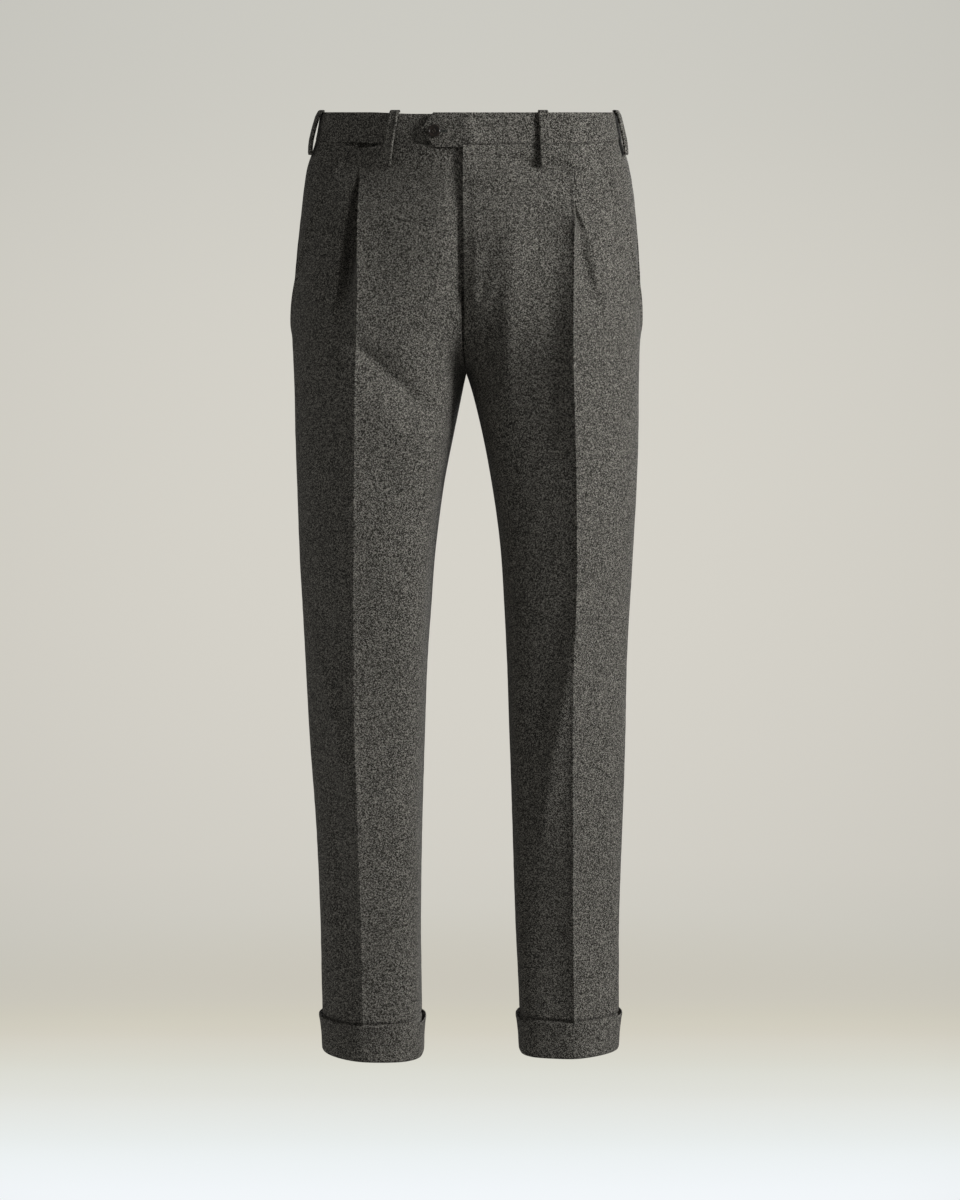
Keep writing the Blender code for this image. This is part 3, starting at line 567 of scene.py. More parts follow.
def foldHeight(name, grid):
    total = np.zeros(grid.shape[:2])
    x, z = grid[..., 0], grid[..., 2]
    for piece, x0, z0, x1, z1, bow, width, height, roundness in folds:
        if piece != name or (x0 + x1) * x.mean() < 0:
            continue
        run = np.array([x1 - x0, z1 - z0], float)
        length = np.linalg.norm(run)
        run /= length
        t = ((x - x0) * run[0] + (z - z0) * run[1]) / length
        across = (z - z0) * run[0] - (x - x0) * run[1] - bow * 4 * t * (1 - t)
        taper = ease(t / cloth["foldTaper"]) * ease((1 - t) / cloth["foldTaper"])
        away = np.hypot(across, roundness) - roundness
        total += height * np.exp(-away / (cloth["foldFall"] * width)) * taper
    return total


def rowArcs(grid):
    steps = np.linalg.norm(np.diff(grid, axis=1), axis=2)
    return np.concatenate([np.zeros((len(grid), 1)), np.cumsum(steps, axis=1)], axis=1)


def gridNormals(grid, closed=False):
    if closed:
        across = np.roll(grid, -1, axis=1) - np.roll(grid, 1, axis=1)
    else:
        across = np.gradient(grid, axis=1)
    return unit(np.cross(across, np.gradient(grid, axis=0)))


# Which way round a grid runs: 1 if its normals point away from the middle of the leg or body.
def outwardSign(grid, normals, centreX):
    lean = (grid[..., 0] - centreX) * normals[..., 0] + grid[..., 1] * normals[..., 1]
    return 1.0 if lean.sum() > 0 else -1.0


# Eases the cloth's run past the crotch corner, which only the seam itself turns sharply.
def easeCrotch(grid, heights):
    sigma = cloth["crotchRows"]
    reach = 3 * sigma
    padded = np.concatenate([grid[:1]] * reach + [grid] + [grid[-1:]] * reach)
    smooth, weights = np.zeros_like(grid), 0.0
    for shift in range(2 * reach + 1):
        weight = bell(shift - reach, sigma * math.sqrt(2))
        smooth += weight * padded[shift : shift + len(grid)]
        weights += weight
    arcs = rowArcs(grid)
    gap, fade = cloth["crotchInside"]
    inside = ease((arcs[:, -1:] - arcs - gap) / fade) * ease(arcs / cloth["crotchOutside"])
    z = heights[:, None]
    (topZ, topFade), (lowZ, lowFade) = cloth["crotchFrom"], cloth["crotchTo"]
    near = ease((topZ - z) / topFade) * ease((z - lowZ) / lowFade)
    return grid + (smooth / weights - grid) * (inside * near)[..., None]


# Seams that draw in at an edge, with small puckers along them.
def seamHeight(distance, run, seed):
    size = cloth["puckerSize"]
    puckers = softNoise(run, 0 * run, (size, size), seed) * cloth["pucker"] * bell(distance, size)
    return puckers - cloth["seamDepth"] * bell(distance, cloth["seamWidth"])


# Meshes.

pieces = []


def place(obj, nodes):
    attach(obj, "root")
    if nodes:
        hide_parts(*nodes)
    pieces.append(obj.name)


def newMesh(name, points, faces, mat):
    mesh = bpy.data.meshes.new(name)
    mesh.from_pydata((np.asarray(points).reshape(-1, 3) * mm).tolist(), [], faces)
    mesh.shade_smooth()
    mesh.materials.append(mat)
    obj = bpy.data.objects.new(name, mesh)
    scene.collection.objects.link(obj)
    return obj


# Where each point lies on the flat cloth, in mm, for the weave to follow.
def addClothMap(obj, grid, column, across):
    u = rowArcs(grid) - rowArcs(grid)[:, column][:, None] if across is None else across
    v = arcsOf(grid[:, column])[:, None] + 0 * u
    step, downShare = cloth["mapShift"]
    shift = step * len(pieces)
    spots = np.stack([u + shift, v + downShare * shift, 0 * u], axis=-1)
    layer = obj.data.attributes.new("clothMap", "FLOAT_VECTOR", "POINT")
    layer.data.foreach_set("vector", spots.astype(np.float32).ravel())


# A thin wall round a grid of points, with rounded rims.
def shell(
    name, grid, wall, mat, node,
    closed=False, column=0, centreX=0.0, rim=None, across=None,
):
    grid = np.asarray(grid)
    rows, columns = grid.shape[:2]
    index = np.arange(rows * columns).reshape(rows, columns)
    here = index if closed else index[:, :-1]
    after = np.roll(index, -1, axis=1) if closed else index[:, 1:]
    corners = [here[:-1], here[1:], after[1:], after[:-1]]
    if outwardSign(grid, gridNormals(grid, closed), centreX) > 0:
        corners = corners[::-1]
    faces = np.stack(corners, axis=-1).reshape(-1, 4).tolist()
    obj = newMesh(name, grid, faces, mat)
    addClothMap(obj, grid, column, across)
    solid = obj.modifiers.new("Wall", "SOLIDIFY")
    solid.thickness = wall * mm
    solid.offset = 0
    solid.use_quality_normals = True
    edge = obj.modifiers.new("Rim", "BEVEL")
    edge.width = (rim or cloth["rim"] * wall) * mm
    edge.segments = cloth["rimSegments"]
    edge.limit_method = "ANGLE"
    edge.angle_limit = math.radians(cloth["rimAngle"])
    edge.harden_normals = True
    place(obj, [node])
    declareSheet(grid)


# Works out the longest length down every few columns of a piece's grid; the result is not used.
def declareSheet(grid):
    length = max(arcsOf(column)[-1] for column in grid.swapaxes(0, 1)[:: cloth["measureEvery"]])


# The cloth's look: a melange flannel, dark and light fibres spun together under a soft nap.

flannel = {
    "dark": (0.029, 0.0273, 0.0235),
    "light": (0.40, 0.383, 0.341),
    # Width and length of the flecks, fibres and blotches in mm. The last two also have a detail.
    "fleck": (0.62, 0.66),
    "warp": (0.3, 1.9),
    "weft": (1.6, 0.32),
    "blotch": (34.0, 55.0, 3.0),
    "streak": (2.2, 40.0, 1.0),
    "twill": {"Scale": 0.26, "Distortion": 3.0, "Detail": 2.0},
    # How much of the shade the fleck, warp, weft, blotch, streak and twill each give.
    "weights": (2.9, 1.3, 1.3, 0.1, 0.25, 0.06),
    "middle": 0.06,
    "softness": 0.55,  # of the flecks' edges
    "raggedScale": 3.2,
    "raggedReach": 0.5,  # how far those edges stray
    "roughness": (0.82, 0.98),
    "shader": {"Sheen Weight": 0.04, "Sheen Roughness": 0.55, "Specular IOR Level": 0.2},
    "bumpStrength": 0.5,
    "bump": 0.09,
}


# Sets a socket to a value, or links another node's output to it.
def feed(tree, socket, value):
    if isinstance(value, bpy.types.NodeSocket):
        tree.links.new(value, socket)
    else:
        socket.default_value = value


def feedAll(tree, node, values):
    for name, value in values.items():
        feed(tree, node.inputs[name], value)


# A node with its settings and inputs by name, and other inputs in their order.
def addNode(tree, kind, *given, **settings):
    made = tree.nodes.new(kind)
    for name, value in settings.items():
        if name in made.inputs:
            feed(tree, made.inputs[name], value)
        else:
            setattr(made, name, value)
    for socket, value in zip(made.inputs, given):
        feed(tree, socket, value)
    return made


def mathNode(tree, operation, *values):
    return addNode(tree, "ShaderNodeMath", *values, operation=operation).outputs[0]


def vectorMath(tree, operation, *values):
    return addNode(tree, "ShaderNodeVectorMath", *values, operation=operation).outputs[0]


# A value taken from one range to another. "ends" says which of the two is given.
def mapRange(tree, value, ends, span, **settings):
    limits = {ends + " Min": span[0], ends + " Max": span[1]}
    made = addNode(tree, "ShaderNodeMapRange", **settings, **limits, Value=value)
    return made.outputs["Result"]


# Colours along a value, from stops of (position, colour).
def rampOf(tree, value, stops, interpolation="LINEAR"):
    made = addNode(tree, "ShaderNodeValToRGB", value)
    made.color_ramp.interpolation = interpolation
    while len(made.color_ramp.elements) < len(stops):
        made.color_ramp.elements.new(0.5)
    for element, (position, colour) in zip(made.color_ramp.elements, stops):
        element.position = position
        element.color = (*colour, 1)
    return made.outputs["Color"]


def bumpOf(tree, height, strength, distance):
    made = addNode(tree, "ShaderNodeBump", Strength=strength, Distance=distance * mm, Height=height)
    return made.outputs["Normal"]


# A material, its nodes and its shader, with some of the shader's values set.
def newMaterial(name, values):
    made = bpy.data.materials.new(name)
    made.use_nodes = True
    shader = made.node_tree.nodes["Principled BSDF"]
    feedAll(made.node_tree, shader, values)
    return made, made.node_tree, shader


def newGroup(name, inputs, outputs):
    group = bpy.data.node_groups.new(name, "ShaderNodeTree")
    for socketName, kind, value in inputs:
        made = group.interface.new_socket(name=socketName, in_out="INPUT", socket_type=kind)
        if value is not None:
            made.default_value = value
    for socketName, kind in outputs:
        group.interface.new_socket(name=socketName, in_out="OUTPUT", socket_type=kind)
    return group, group.nodes.new("NodeGroupInput"), group.nodes.new("NodeGroupOutput")


# Noise over the cloth with features of a given width and length in mm.
def fibreNoise(tree, vector, width, length, detail=1.0):
    scaled = vectorMath(tree, "MULTIPLY", vector, (1 / width, 1 / length, 1))
    noise = {"noise_dimensions": "2D", "Scale": 1.0, "Detail": detail}
    return addNode(tree, "ShaderNodeTexNoise", **noise, Vector=scaled).outputs["Fac"]


# Flecks of one shade each, with soft and ragged edges.
def fleckCells(tree, vector, size):
    noise = {"noise_dimensions": "2D", "Scale": flannel["raggedScale"], "Detail": 1.0}
    ragged = addNode(tree, "ShaderNodeTexNoise", **noise, Vector=vector)
    centred = vectorMath(tree, "SUBTRACT", ragged.outputs["Color"], (0.5, 0.5, 0.5))
    reach = flannel["raggedReach"]
    moved = vectorMath(tree, "MULTIPLY_ADD", centred, (reach, reach, 0), vector)
    scaled = vectorMath(tree, "MULTIPLY", moved, (1 / size[0], 1 / size[1], 1))
    soft = {"feature": "SMOOTH_F1", "Scale": 1.0, "Smoothness": flannel["softness"]}
    cells = addNode(tree, "ShaderNodeTexVoronoi", voronoi_dimensions="2D", **soft, Vector=scaled)
    return addNode(tree, "ShaderNodeSeparateColor", cells.outputs["Color"]).outputs[0]


def makeMelange():
    tree, given, out = newGroup(
        "Melange flannel",
        (
            ("Map", "NodeSocketVector", None),
            ("Dark", "NodeSocketColor", (*flannel["dark"], 1)),
            ("Light", "NodeSocketColor", (*flannel["light"], 1)),
            ("Tone", "NodeSocketFloat", 0.0),
            ("Contrast", "NodeSocketFloat", 1.0),
            ("Nap", "NodeSocketFloat", 1.0),
        ),
        (
            ("Color", "NodeSocketColor"),
            ("Roughness", "NodeSocketFloat"),
            ("Height", "NodeSocketFloat"),
        ),
    )
    where = given.outputs["Map"]
    fleck = fleckCells(tree, where, flannel["fleck"])
    names = ("warp", "weft", "blotch", "streak")
    warp, weft, blotch, streak = (fibreNoise(tree, where, *flannel[name]) for name in names)
    bands = {"wave_type": "BANDS", "bands_direction": "DIAGONAL", **flannel["twill"]}
    twill = addNode(tree, "ShaderNodeTexWave", **bands, Vector=where)

    parts = (fleck, warp, weft, blotch, streak, twill.outputs["Fac"])
    total = 0.0
    for fac, weight in zip(parts, flannel["weights"]):
        centred = mathNode(tree, "SUBTRACT", fac, 0.5)
        total = mathNode(tree, "ADD", mathNode(tree, "MULTIPLY", centred, weight), total)
    mixed = mathNode(tree, "MULTIPLY", total, given.outputs["Contrast"])
    tone = mathNode(tree, "ADD", given.outputs["Tone"], flannel["middle"])
    mixed = mathNode(tree, "ADD", mixed, tone)
    shades = {"A": given.outputs["Dark"], "B": given.outputs["Light"]}
    kind = {"data_type": "RGBA", "clamp_factor": True}
    shade = addNode(tree, "ShaderNodeMix", **kind, Factor=mixed, **shades)

    height = mathNode(tree, "ADD", mathNode(tree, "ADD", warp, weft), fleck)
    results = {
        "Color": next(s for s in shade.outputs if s.type == "RGBA"),
        "Roughness": mapRange(tree, fleck, "To", flannel["roughness"]),
        "Height": mathNode(tree, "MULTIPLY", height, given.outputs["Nap"]),
    }
    feedAll(tree, out, results)
    return tree


melange = makeMelange()


def clothMaterial(name, tone=0.0, contrast=1.0):
    made, tree, shader = newMaterial(name, flannel["shader"])
    spots = addNode(tree, "ShaderNodeAttribute", attribute_name="clothMap").outputs["Vector"]
    look = {"Tone": tone, "Contrast": contrast, "Map": spots}
    group = addNode(tree, "ShaderNodeGroup", node_tree=melange, **look)
    results = {
        "Base Color": group.outputs["Color"],
        "Roughness": group.outputs["Roughness"],
        "Normal": bumpOf(tree, group.outputs["Height"], flannel["bumpStrength"], flannel["bump"]),
    }
    feedAll(tree, shader, results)
    return made


panelCloth = clothMaterial("Panel flannel")
facingCloth = clothMaterial("Facing flannel", tone=-0.03)
# The coin pocket's facing is the same flannel painted darker: painted shade inside the slit.
slitShadeCloth = clothMaterial("Coin pocket flannel painted shade", tone=-0.1)
bandCloth = clothMaterial("Waistband flannel", contrast=0.92)
turnupCloth = clothMaterial("Turn-up flannel")
loopCloth = clothMaterial("Belt loop flannel", contrast=0.92)
print("Materials made")


# Front panels.

fly = {
    "edgeX": -3.2,
    "underlap": 11,
    "underlapColumns": 8,
    "endsZ": -205,
    "fade": 20,
    "taper": 85,
    "taperRound": 5,
    "lapShare": 1.45,
    "lapReach": 11,
    "seamFromZ": -200,  # below it the front's inner edge is sewn
    "seamFade": 60,
}

pleat = {
    "sideFalls": 0.75,  # share of the side part that falls behind the crease
    "turn": 0.65,
    "mostReach": 0.7,  # of the side part's width
    "mostBottom": 0.7,  # of the reach
    "mostRidge": 0.85,
    "underShare": 0.6,  # of the way to the ridge, for the part that hangs over
    # How the points crowd towards the crease, and how the trough's two flanks are rounded.
    "crowding": 1.6,
    "riseRound": 1.15,
    "fadeRound": 0.8,
}

slantPocket = {
    "topArc": 70,
    "endsZ": -245,
    "curve": 1.75,
    "underlap": 12,
    "facingEndsAbove": 12,
    "clearance": 1.5,
    "lip": 1.8,
    "lipWidth": 3.0,
    "seamAbove": 12,  # where the side seam starts to close, above the pocket's end
    "seamFade": 24,
    "rows": 60,
    "columns": 26,
    "crowding": 0.6,
}

coinPocket = {
    "outerX": 146,
    "innerX": 91,
    "sag": 6.4,
    "sagFade": 26,
    "sagRound": 0.6,
    "sink": 8.0,
    "topZ": -28,
    "bottomZ": -50,
    "lip": 2.8,
    "lipWidth": 2.4,
    "columns": 36,
    "rows": 8,
}


halfGap = body["seamGap"] / 2


def edgeInset(turn):
    return halfGap + body["wall"] / 2 * math.sin(math.radians(max(turn, 0)))


def flySeamX(z):
    share = float(np.clip((fly["endsZ"] - z) / fly["taper"], 0, 1))
    return fly["edgeX"] * (1 - share ** fly["taperRound"])


def flyShare(z):
    return ease((z - fly["endsZ"]) / fly["fade"])


# Distance of the slanted pocket edge from the side seam.
def pocketArc(z):
    top = waist["seamZ"]
    down = np.clip((top - z) / (top - slantPocket["endsZ"]), 0, 1)
    return slantPocket["topArc"] * (1 - down ** slantPocket["curve"])


# The pleat's path from the crease outwards: distance inwards from the crease, depth behind it.
def pleatPath(side, z):
    row = rowValues(pleatRows[side], z)
    layered = 2 * body["layerStep"]
    width = outerX(side, z) - creaseX(side, z)
    reach = min(row["reach"], pleat["mostReach"] * width)
    firstTurn, wayIn, lastTurn, wayBack = cloth["pleatColumns"]
    arc = layered / 4
    angle = np.linspace(0, math.pi, firstTurn + 1)
    inwards = [-pleat["turn"] * np.sin(angle)]
    behind = [arc * (1 - np.cos(angle))]
    inwards.append(np.linspace(0, row["fold"], wayIn + 1)[1:])
    behind.append(np.full(wayIn, layered / 2))
    angle = np.linspace(0, math.pi, lastTurn + 1)[1:]
    inwards.append(row["fold"] + pleat["turn"] * np.sin(angle))
    behind.append(layered / 2 + arc * (1 - np.cos(angle)))
    inwards.append(np.linspace(row["fold"], 0, wayBack + 1)[1:])
    behind.append(np.full(wayBack, layered))
    inwards, behind = np.concatenate(inwards), np.concatenate(behind)

    outwards = reach * np.linspace(0, 1, len(inwards)) ** pleat["crowding"]
    bottom = min(row["bottom"], pleat["mostBottom"] * reach)
    ridge = min(row["ridge"], pleat["mostRidge"] * reach)
    down = 1 - (1 - np.clip(outwards / bottom, 0, 1)) ** 2
    up = np.clip((outwards - bottom) / (ridge - bottom), 0, 1) ** pleat["riseRound"]
    fade = 1 - np.clip((outwards - ridge) / (reach - ridge), 0, 1) ** pleat["fadeRound"]
    openBehind = down * (row["deep"] * (1 - up) + row["sink"] * fade)
    hung = np.clip(outwards / (pleat["underShare"] * ridge), 0, 1)
    openOutwards = outwards - row["under"] * np.sin(math.pi * hung)
    spread = row["spread"]
    inwards = (1 - spread) * inwards - spread * openOutwards
    behind = (1 - spread) * behind + spread * openBehind
    return inwards, behind, (1 - spread) * layered


def yAt(line, x):
    order = np.argsort(line[:, 0])
    return np.interp(x, line[order, 0], line[order, 1])


# A panel's inner edge: at the centre seam, and below the crotch at the inseam.
def edgeOf(side, row, seamX, gap):
    inset = edgeInset(row["turn"])
    if row["onLeg"]:
        return max(innerX(side, row["edgeZ"]), inset), row["edgeY"] + gap
    return seamX + inset, row["edgeY"]


# A row's points with their heights, leaning to the height of the inner edge over the last part.
def leaning(points, t, z, edgeZ):
    heights = np.full(len(points), z)
    heights[-len(t) :] += (edgeZ - z) * t ** cloth["edgeLean"]
    return np.column_stack([points, heights])


def frontRow(side, z):
    row = rowAt(frontRows, z)
    edge = edgeOf(side, row, side * flySeamX(row["edgeZ"]), -halfGap)
    outerLine = curve(outerQuarter(side, z, True))
    innerControls = innerQuarter(side, z, edge, row["turn"], True)
    innerLine = curve(innerControls)
    inwards, behind, sideDrop = pleatPath(side, z)

    crease = creaseX(side, z)
    pleatArc = np.interp(inwards[-1] - crease, -outerLine[:, 0], arcsOf(outerLine))
    firstArc = pocketArc(z) + halfGap
    shares = (np.arange(cloth["outerColumns"]) / cloth["outerColumns"]) ** cloth["sideCrowding"]
    sidePart = along(outerLine, firstArc + (pleatArc - firstArc) * shares)
    sidePart[:, 1] += sideDrop * ease((shares - 1 + pleat["sideFalls"]) / pleat["sideFalls"])

    inwards, behind = inwards[::-1], behind[::-1]
    x = crease - inwards
    y = np.where(inwards <= 0, yAt(outerLine, x), yAt(innerLine, x)) + behind
    pleatPart = np.stack([x, y], axis=1)

    t = crowded(cloth["innerColumns"], cloth["crowding"])[1:]
    centrePart = bezier(innerControls, t)
    points = np.concatenate([sidePart, pleatPart, centrePart])
    points = leaning(points, t, z, row["edgeZ"])
    if not row["onLeg"]:
        lapFly(side, points[-len(t) :], z)
    points[:, 2] += panelLift(points[:, 1], z)
    if side < 0:
        sagCoinPocket(points, z)
    points[:, 0] *= side
    return points


# The left front rises over the fly, and the right one sinks and runs on behind it.
def lapFly(side, points, z):
    near = 1 - ease((points[:, 0] - side * flySeamX(z) - fly["lapReach"]) / fly["lapReach"])
    lap = 1 - ease((fly["endsZ"] - z) / fly["fade"])
    points[:, 1] -= side * body["layerStep"] * fly["lapShare"] * lap * near
    if side < 0:
        count = fly["underlapColumns"]
        points[-count:, 0] -= fly["underlap"] * flyShare(z) * np.arange(1, count + 1) / count


# The coin pocket's lower lip hangs a little.
def sagCoinPocket(points, z):
    share = slitShare(points[:, 0])
    fade = ease((z - waist["seamZ"] + coinPocket["sagFade"]) / coinPocket["sagFade"])
    hang = np.sin(math.pi * np.clip(share, 0, 1)) ** coinPocket["sagRound"]
    points[:, 2] -= coinPocket["sag"] * hang * fade


# How far down the inner and the outer edge are sewn. In front they are open at the fly and pocket.
def sewnShares(name, z):
    if name == "back":
        return 1.0, 1.0
    pocketZ = slantPocket["endsZ"] + slantPocket["seamAbove"]
    innerSeam = ease((fly["seamFromZ"] - z) / fly["seamFade"])
    return innerSeam, ease((pocketZ - z) / slantPocket["seamFade"])


# Raises a panel's folds, creases and seams, and adds the allowance under the waistband.
def finishPanel(name, side, grid, heights, creaseColumn):
    grid = easeCrotch(grid, heights)
    normals = gridNormals(grid)
    normals *= outwardSign(grid, normals, side * body["centreX"])
    if name == "front":
        smoothPleatNormals(normals)
    arcs = rowArcs(grid)
    fromOuter, fromInner = arcs, arcs[:, -1:] - arcs
    z = heights[:, None] + 0 * arcs
    fromTop = arcsOf(grid[:, creaseColumn])[:, None] + 0 * arcs
    mask = cloth["seamMask"]
    innerSeam, outerSeam = sewnShares(name, z)
    calm = ease(fromOuter / mask) * (1 - innerSeam * (1 - ease(fromInner / mask)))
    calm *= ease(fromTop / cloth["waistMask"]) * ease((z - body["hemZ"]) / cloth["hemMask"])
    drape = softNoise(arcs, fromTop, cloth["drapeSize"], seeds["drape"] + side) * cloth["drape"]
    fine = softNoise(arcs, fromTop, cloth["fineDrapeSize"], seeds["fineDrape"] + side)
    drape += fine * cloth["drape"] * cloth["fineDrape"]
    height = (foldHeight(name, grid) + drape) * calm
    height += seamHeight(fromInner, fromTop, seeds["innerSeam"] + side) * innerSeam
    height += seamHeight(fromOuter, fromTop, seeds["outerSeam"] + side) * outerSeam
    height -= cloth["waistSeamDepth"] * bell(fromTop, cloth["waistSeamWidth"])
    tuckZ = turnup["lowZ"][side] + turnup["height"] + cloth["tuckAbove"]
    height -= cloth["tuckDepth"] * bell(z - tuckZ, cloth["tuckWidth"])
    fromCrease = np.abs(arcs - arcs[:, creaseColumn][:, None])
    pressedZ, pressedFade = cloth["pressed"][name]
    pressed = ease((pressedZ - z) / pressedFade)
    height += cloth["creaseHeight"] * np.exp(-fromCrease / cloth["creaseWidth"]) * pressed
    if name == "front":
        height += slantPocket["lip"] * bell(fromOuter, slantPocket["lipWidth"]) * (1 - outerSeam)
    shaped = grid + normals * height[..., None]
    turned = [shaped[0] + (0, 0, up) - normals[0] * depth for up, depth in cloth["allowance"]]
    return np.concatenate([turned, shaped])


# Folded layers move together, along the normal of the cloth beside them.
def smoothPleatNormals(normals):
    first = cloth["outerColumns"]
    last = first + sum(cloth["pleatColumns"])
    t = np.linspace(0, 1, last - first + 3)[1:-1, None]
    near, far = normals[:, None, first - 1], normals[:, None, last + 1]
    normals[:, first : last + 1] = unit(near * (1 - t) + far * t)


# Where a front's columns lie across the flat cloth. Where the pleat is shut, the folded layer is
# left out, so that the weave beside it runs on straight.
def frontAcross(side, grid, heights, creaseColumn):
    arcs = rowArcs(grid)
    first = cloth["outerColumns"]
    spread = np.array([float(valueAt(pleatRows[side], "spread", z)) for z in heights])
    spread = np.pad(spread, (len(grid) - len(heights), 0), mode="edge")[:, None]
    across = arcs - arcs[:, creaseColumn : creaseColumn + 1]
    away = np.abs(grid[..., 0] - grid[:, creaseColumn : creaseColumn + 1, 0])
    away += spread * (-across - away)
    across[:, first:creaseColumn] = -away[:, first:creaseColumn]
    across[:, :first] = arcs[:, :first] - arcs[:, first : first + 1] - away[:, first : first + 1]
    return across


def makeFronts():
    heights = rowHeights(frontRows)
    creaseColumn = cloth["outerColumns"] + sum(cloth["pleatColumns"])
    for side in (-1, 1):
        grid = np.array([frontRow(side, z) for z in heights])
        grid = finishPanel("front", side, grid, heights, creaseColumn)
        if side < 0:
            liftCoinLip(grid)
        across = frontAcross(side, grid, heights, creaseColumn)
        shell(
            "frontPanel" + letter(side), grid, body["wall"], panelCloth,
            nodeOf("front", side),
            column=creaseColumn, centreX=side * body["centreX"], across=across,
        )


# How far along the coin pocket's slit a point lies, from 0 to 1, from its distance to the middle.
def slitShare(x):
    return (x - coinPocket["innerX"]) / (coinPocket["outerX"] - coinPocket["innerX"])


# The slit's lower edge rolls outwards.
def liftCoinLip(grid):
    share = slitShare(-grid[..., 0])
    fromTop = grid[:1, :, 2] - grid[..., 2]
    rise = coinPocket["lip"] * bell(fromTop, coinPocket["lipWidth"])
    grid[..., 1] -= rise * np.sin(math.pi * np.clip(share, 0, 1))


# Back panels.


def backRow(side, z):
    row = rowAt(backRows, z)
    edge = edgeOf(side, row, 0, halfGap)
    outerLine = curve(outerQuarter(side, z, False))
    length = arcsOf(outerLine)[-1]
    t = crowded(cloth["backColumns"], cloth["crowding"])
    sidePart = along(outerLine, halfGap + (length - halfGap) * t[:-1])
    centrePart = bezier(innerQuarter(side, z, edge, row["turn"], False), t)
    points = leaning(np.concatenate([sidePart, centrePart]), t, z, row["edgeZ"])
    points[:, 2] += panelLift(points[:, 1], z)
    points[:, 0] *= side
    return points


def makeBacks():
    heights = rowHeights(backRows)
    creaseColumn = cloth["backColumns"]
    for side in (-1, 1):
        grid = np.array([backRow(side, z) for z in heights])
        for x, depth, width, length, fade in darts:
            if x * side > 0:
                down = (heights[0] - heights)[:, None]
                groove = depth * bell(grid[..., 0] - x, width) * ease((length - down) / fade)
                grid[..., 1] -= groove
        grid = finishPanel("back", side, grid, heights, creaseColumn)
        shell(
            "backPanel" + letter(side), grid, body["wall"], panelCloth,
            nodeOf("back", side),
            column=creaseColumn, centreX=side * body["centreX"],
        )


# Pocket facings.


# The way out at each point of a section.
def outwardOf(line):
    step = np.gradient(line, axis=0)
    return unit(np.stack([-step[:, 1], step[:, 0]], axis=1))


def makePocketFacings():
    top = frontRows["z"][0]
    bottom = slantPocket["endsZ"] + slantPocket["facingEndsAbove"]
    under = slantPocket["underlap"]
    shares = crowded(slantPocket["columns"], slantPocket["crowding"])
    for side in (-1, 1):
        rows = []
        for down in np.linspace(0, 1, slantPocket["rows"]):
            z = top + (bottom - top) * down
            line = curve(outerQuarter(side, z, True))
            edge = pocketArc(z)
            arc = halfGap + (edge + under - halfGap) * shares
            behind = np.maximum(0, arc - edge) / under * slantPocket["clearance"]
            sink = down + (1 - down) * ease(arc / edge)
            behind += (body["layerStep"] + slantPocket["clearance"]) * sink
            behind += cloth["seamDepth"] * bell(arc, cloth["seamWidth"])
            xy = along(line, arc) - along(line, arc, outwardOf(line)) * behind[:, None]
            rows.append(np.column_stack([xy[:, 0] * side, xy[:, 1], z + panelLift(xy[:, 1], z)]))
        shell(
            "pocketFacing" + letter(side), rows, body["wall"], facingCloth,
            nodeOf("pocket_facing", side), centreX=side * body["centreX"],
        )


# The waist as one ring, clockwise from the centre back by the wearer's left.


# Depth of the band's middle, front or back.
def centreY(z, front):
    rows, top = (frontRows, waist["topFrontY"]) if front else (backRows, waist["topBackY"])
    return float(np.interp(-z, np.append(0, -rows["z"]), np.append(top, rows["edgeY"])))


def waistRing(z):
    halves = []
    for side in (1, -1):
        parts = (
            curve(innerQuarter(side, z, (0, centreY(z, False)), 0, False))[::-1],
            curve(outerQuarter(side, z, False))[::-1][1:],
            curve(outerQuarter(side, z, True))[1:],
            curve(innerQuarter(side, z, (0, centreY(z, True)), waist["frontTurn"], True))[1:],
        )
        half = np.concatenate(parts)
        half[:, 0] *= side
        halves.append(half)
    return np.concatenate([halves[0], halves[1][::-1][1:]])


# How far round the ring a front x lies, and below it the same for the back.
def frontArc(ring, x):
    half = len(ring) // 2
    front = slice(half // 2, len(ring) - half // 2)
    return np.interp(-np.asarray(x), -ring[front, 0], arcsOf(ring)[front])


def backArc(ring, x):
    quarter = len(ring) // 4
    arcs = arcsOf(ring)
    if x >= 0:
        return float(np.interp(x, ring[:quarter, 0], arcs[:quarter]))
    return float(np.interp(x, ring[-quarter:, 0], arcs[-quarter:]))


# Points at distances round the ring, moved outwards.
def ringPoints(ring, distances, out):
    normals = unit(along(ring, distances, outwardOf(ring)))
    return along(ring, distances) + normals * np.asarray(out)[:, None]


def makeCoinPocket():
    x = -np.linspace(coinPocket["outerX"], coinPocket["innerX"], coinPocket["columns"])
    rows = []
    for z in np.linspace(coinPocket["topZ"], coinPocket["bottomZ"], coinPocket["rows"]):
        ring = waistRing(z)
        xy = ringPoints(ring, frontArc(ring, x), np.full(len(x), -coinPocket["sink"]))
        rows.append(np.column_stack([xy, z + panelLift(xy[:, 1], z)]))
    # The facing takes the darker material, painted shade inside the slit.
    shell("coinPocketFacing", rows, body["wall"], slitShadeCloth, "coin_pocket_facing")


# Waistbands, with the pointed tab on the left one.

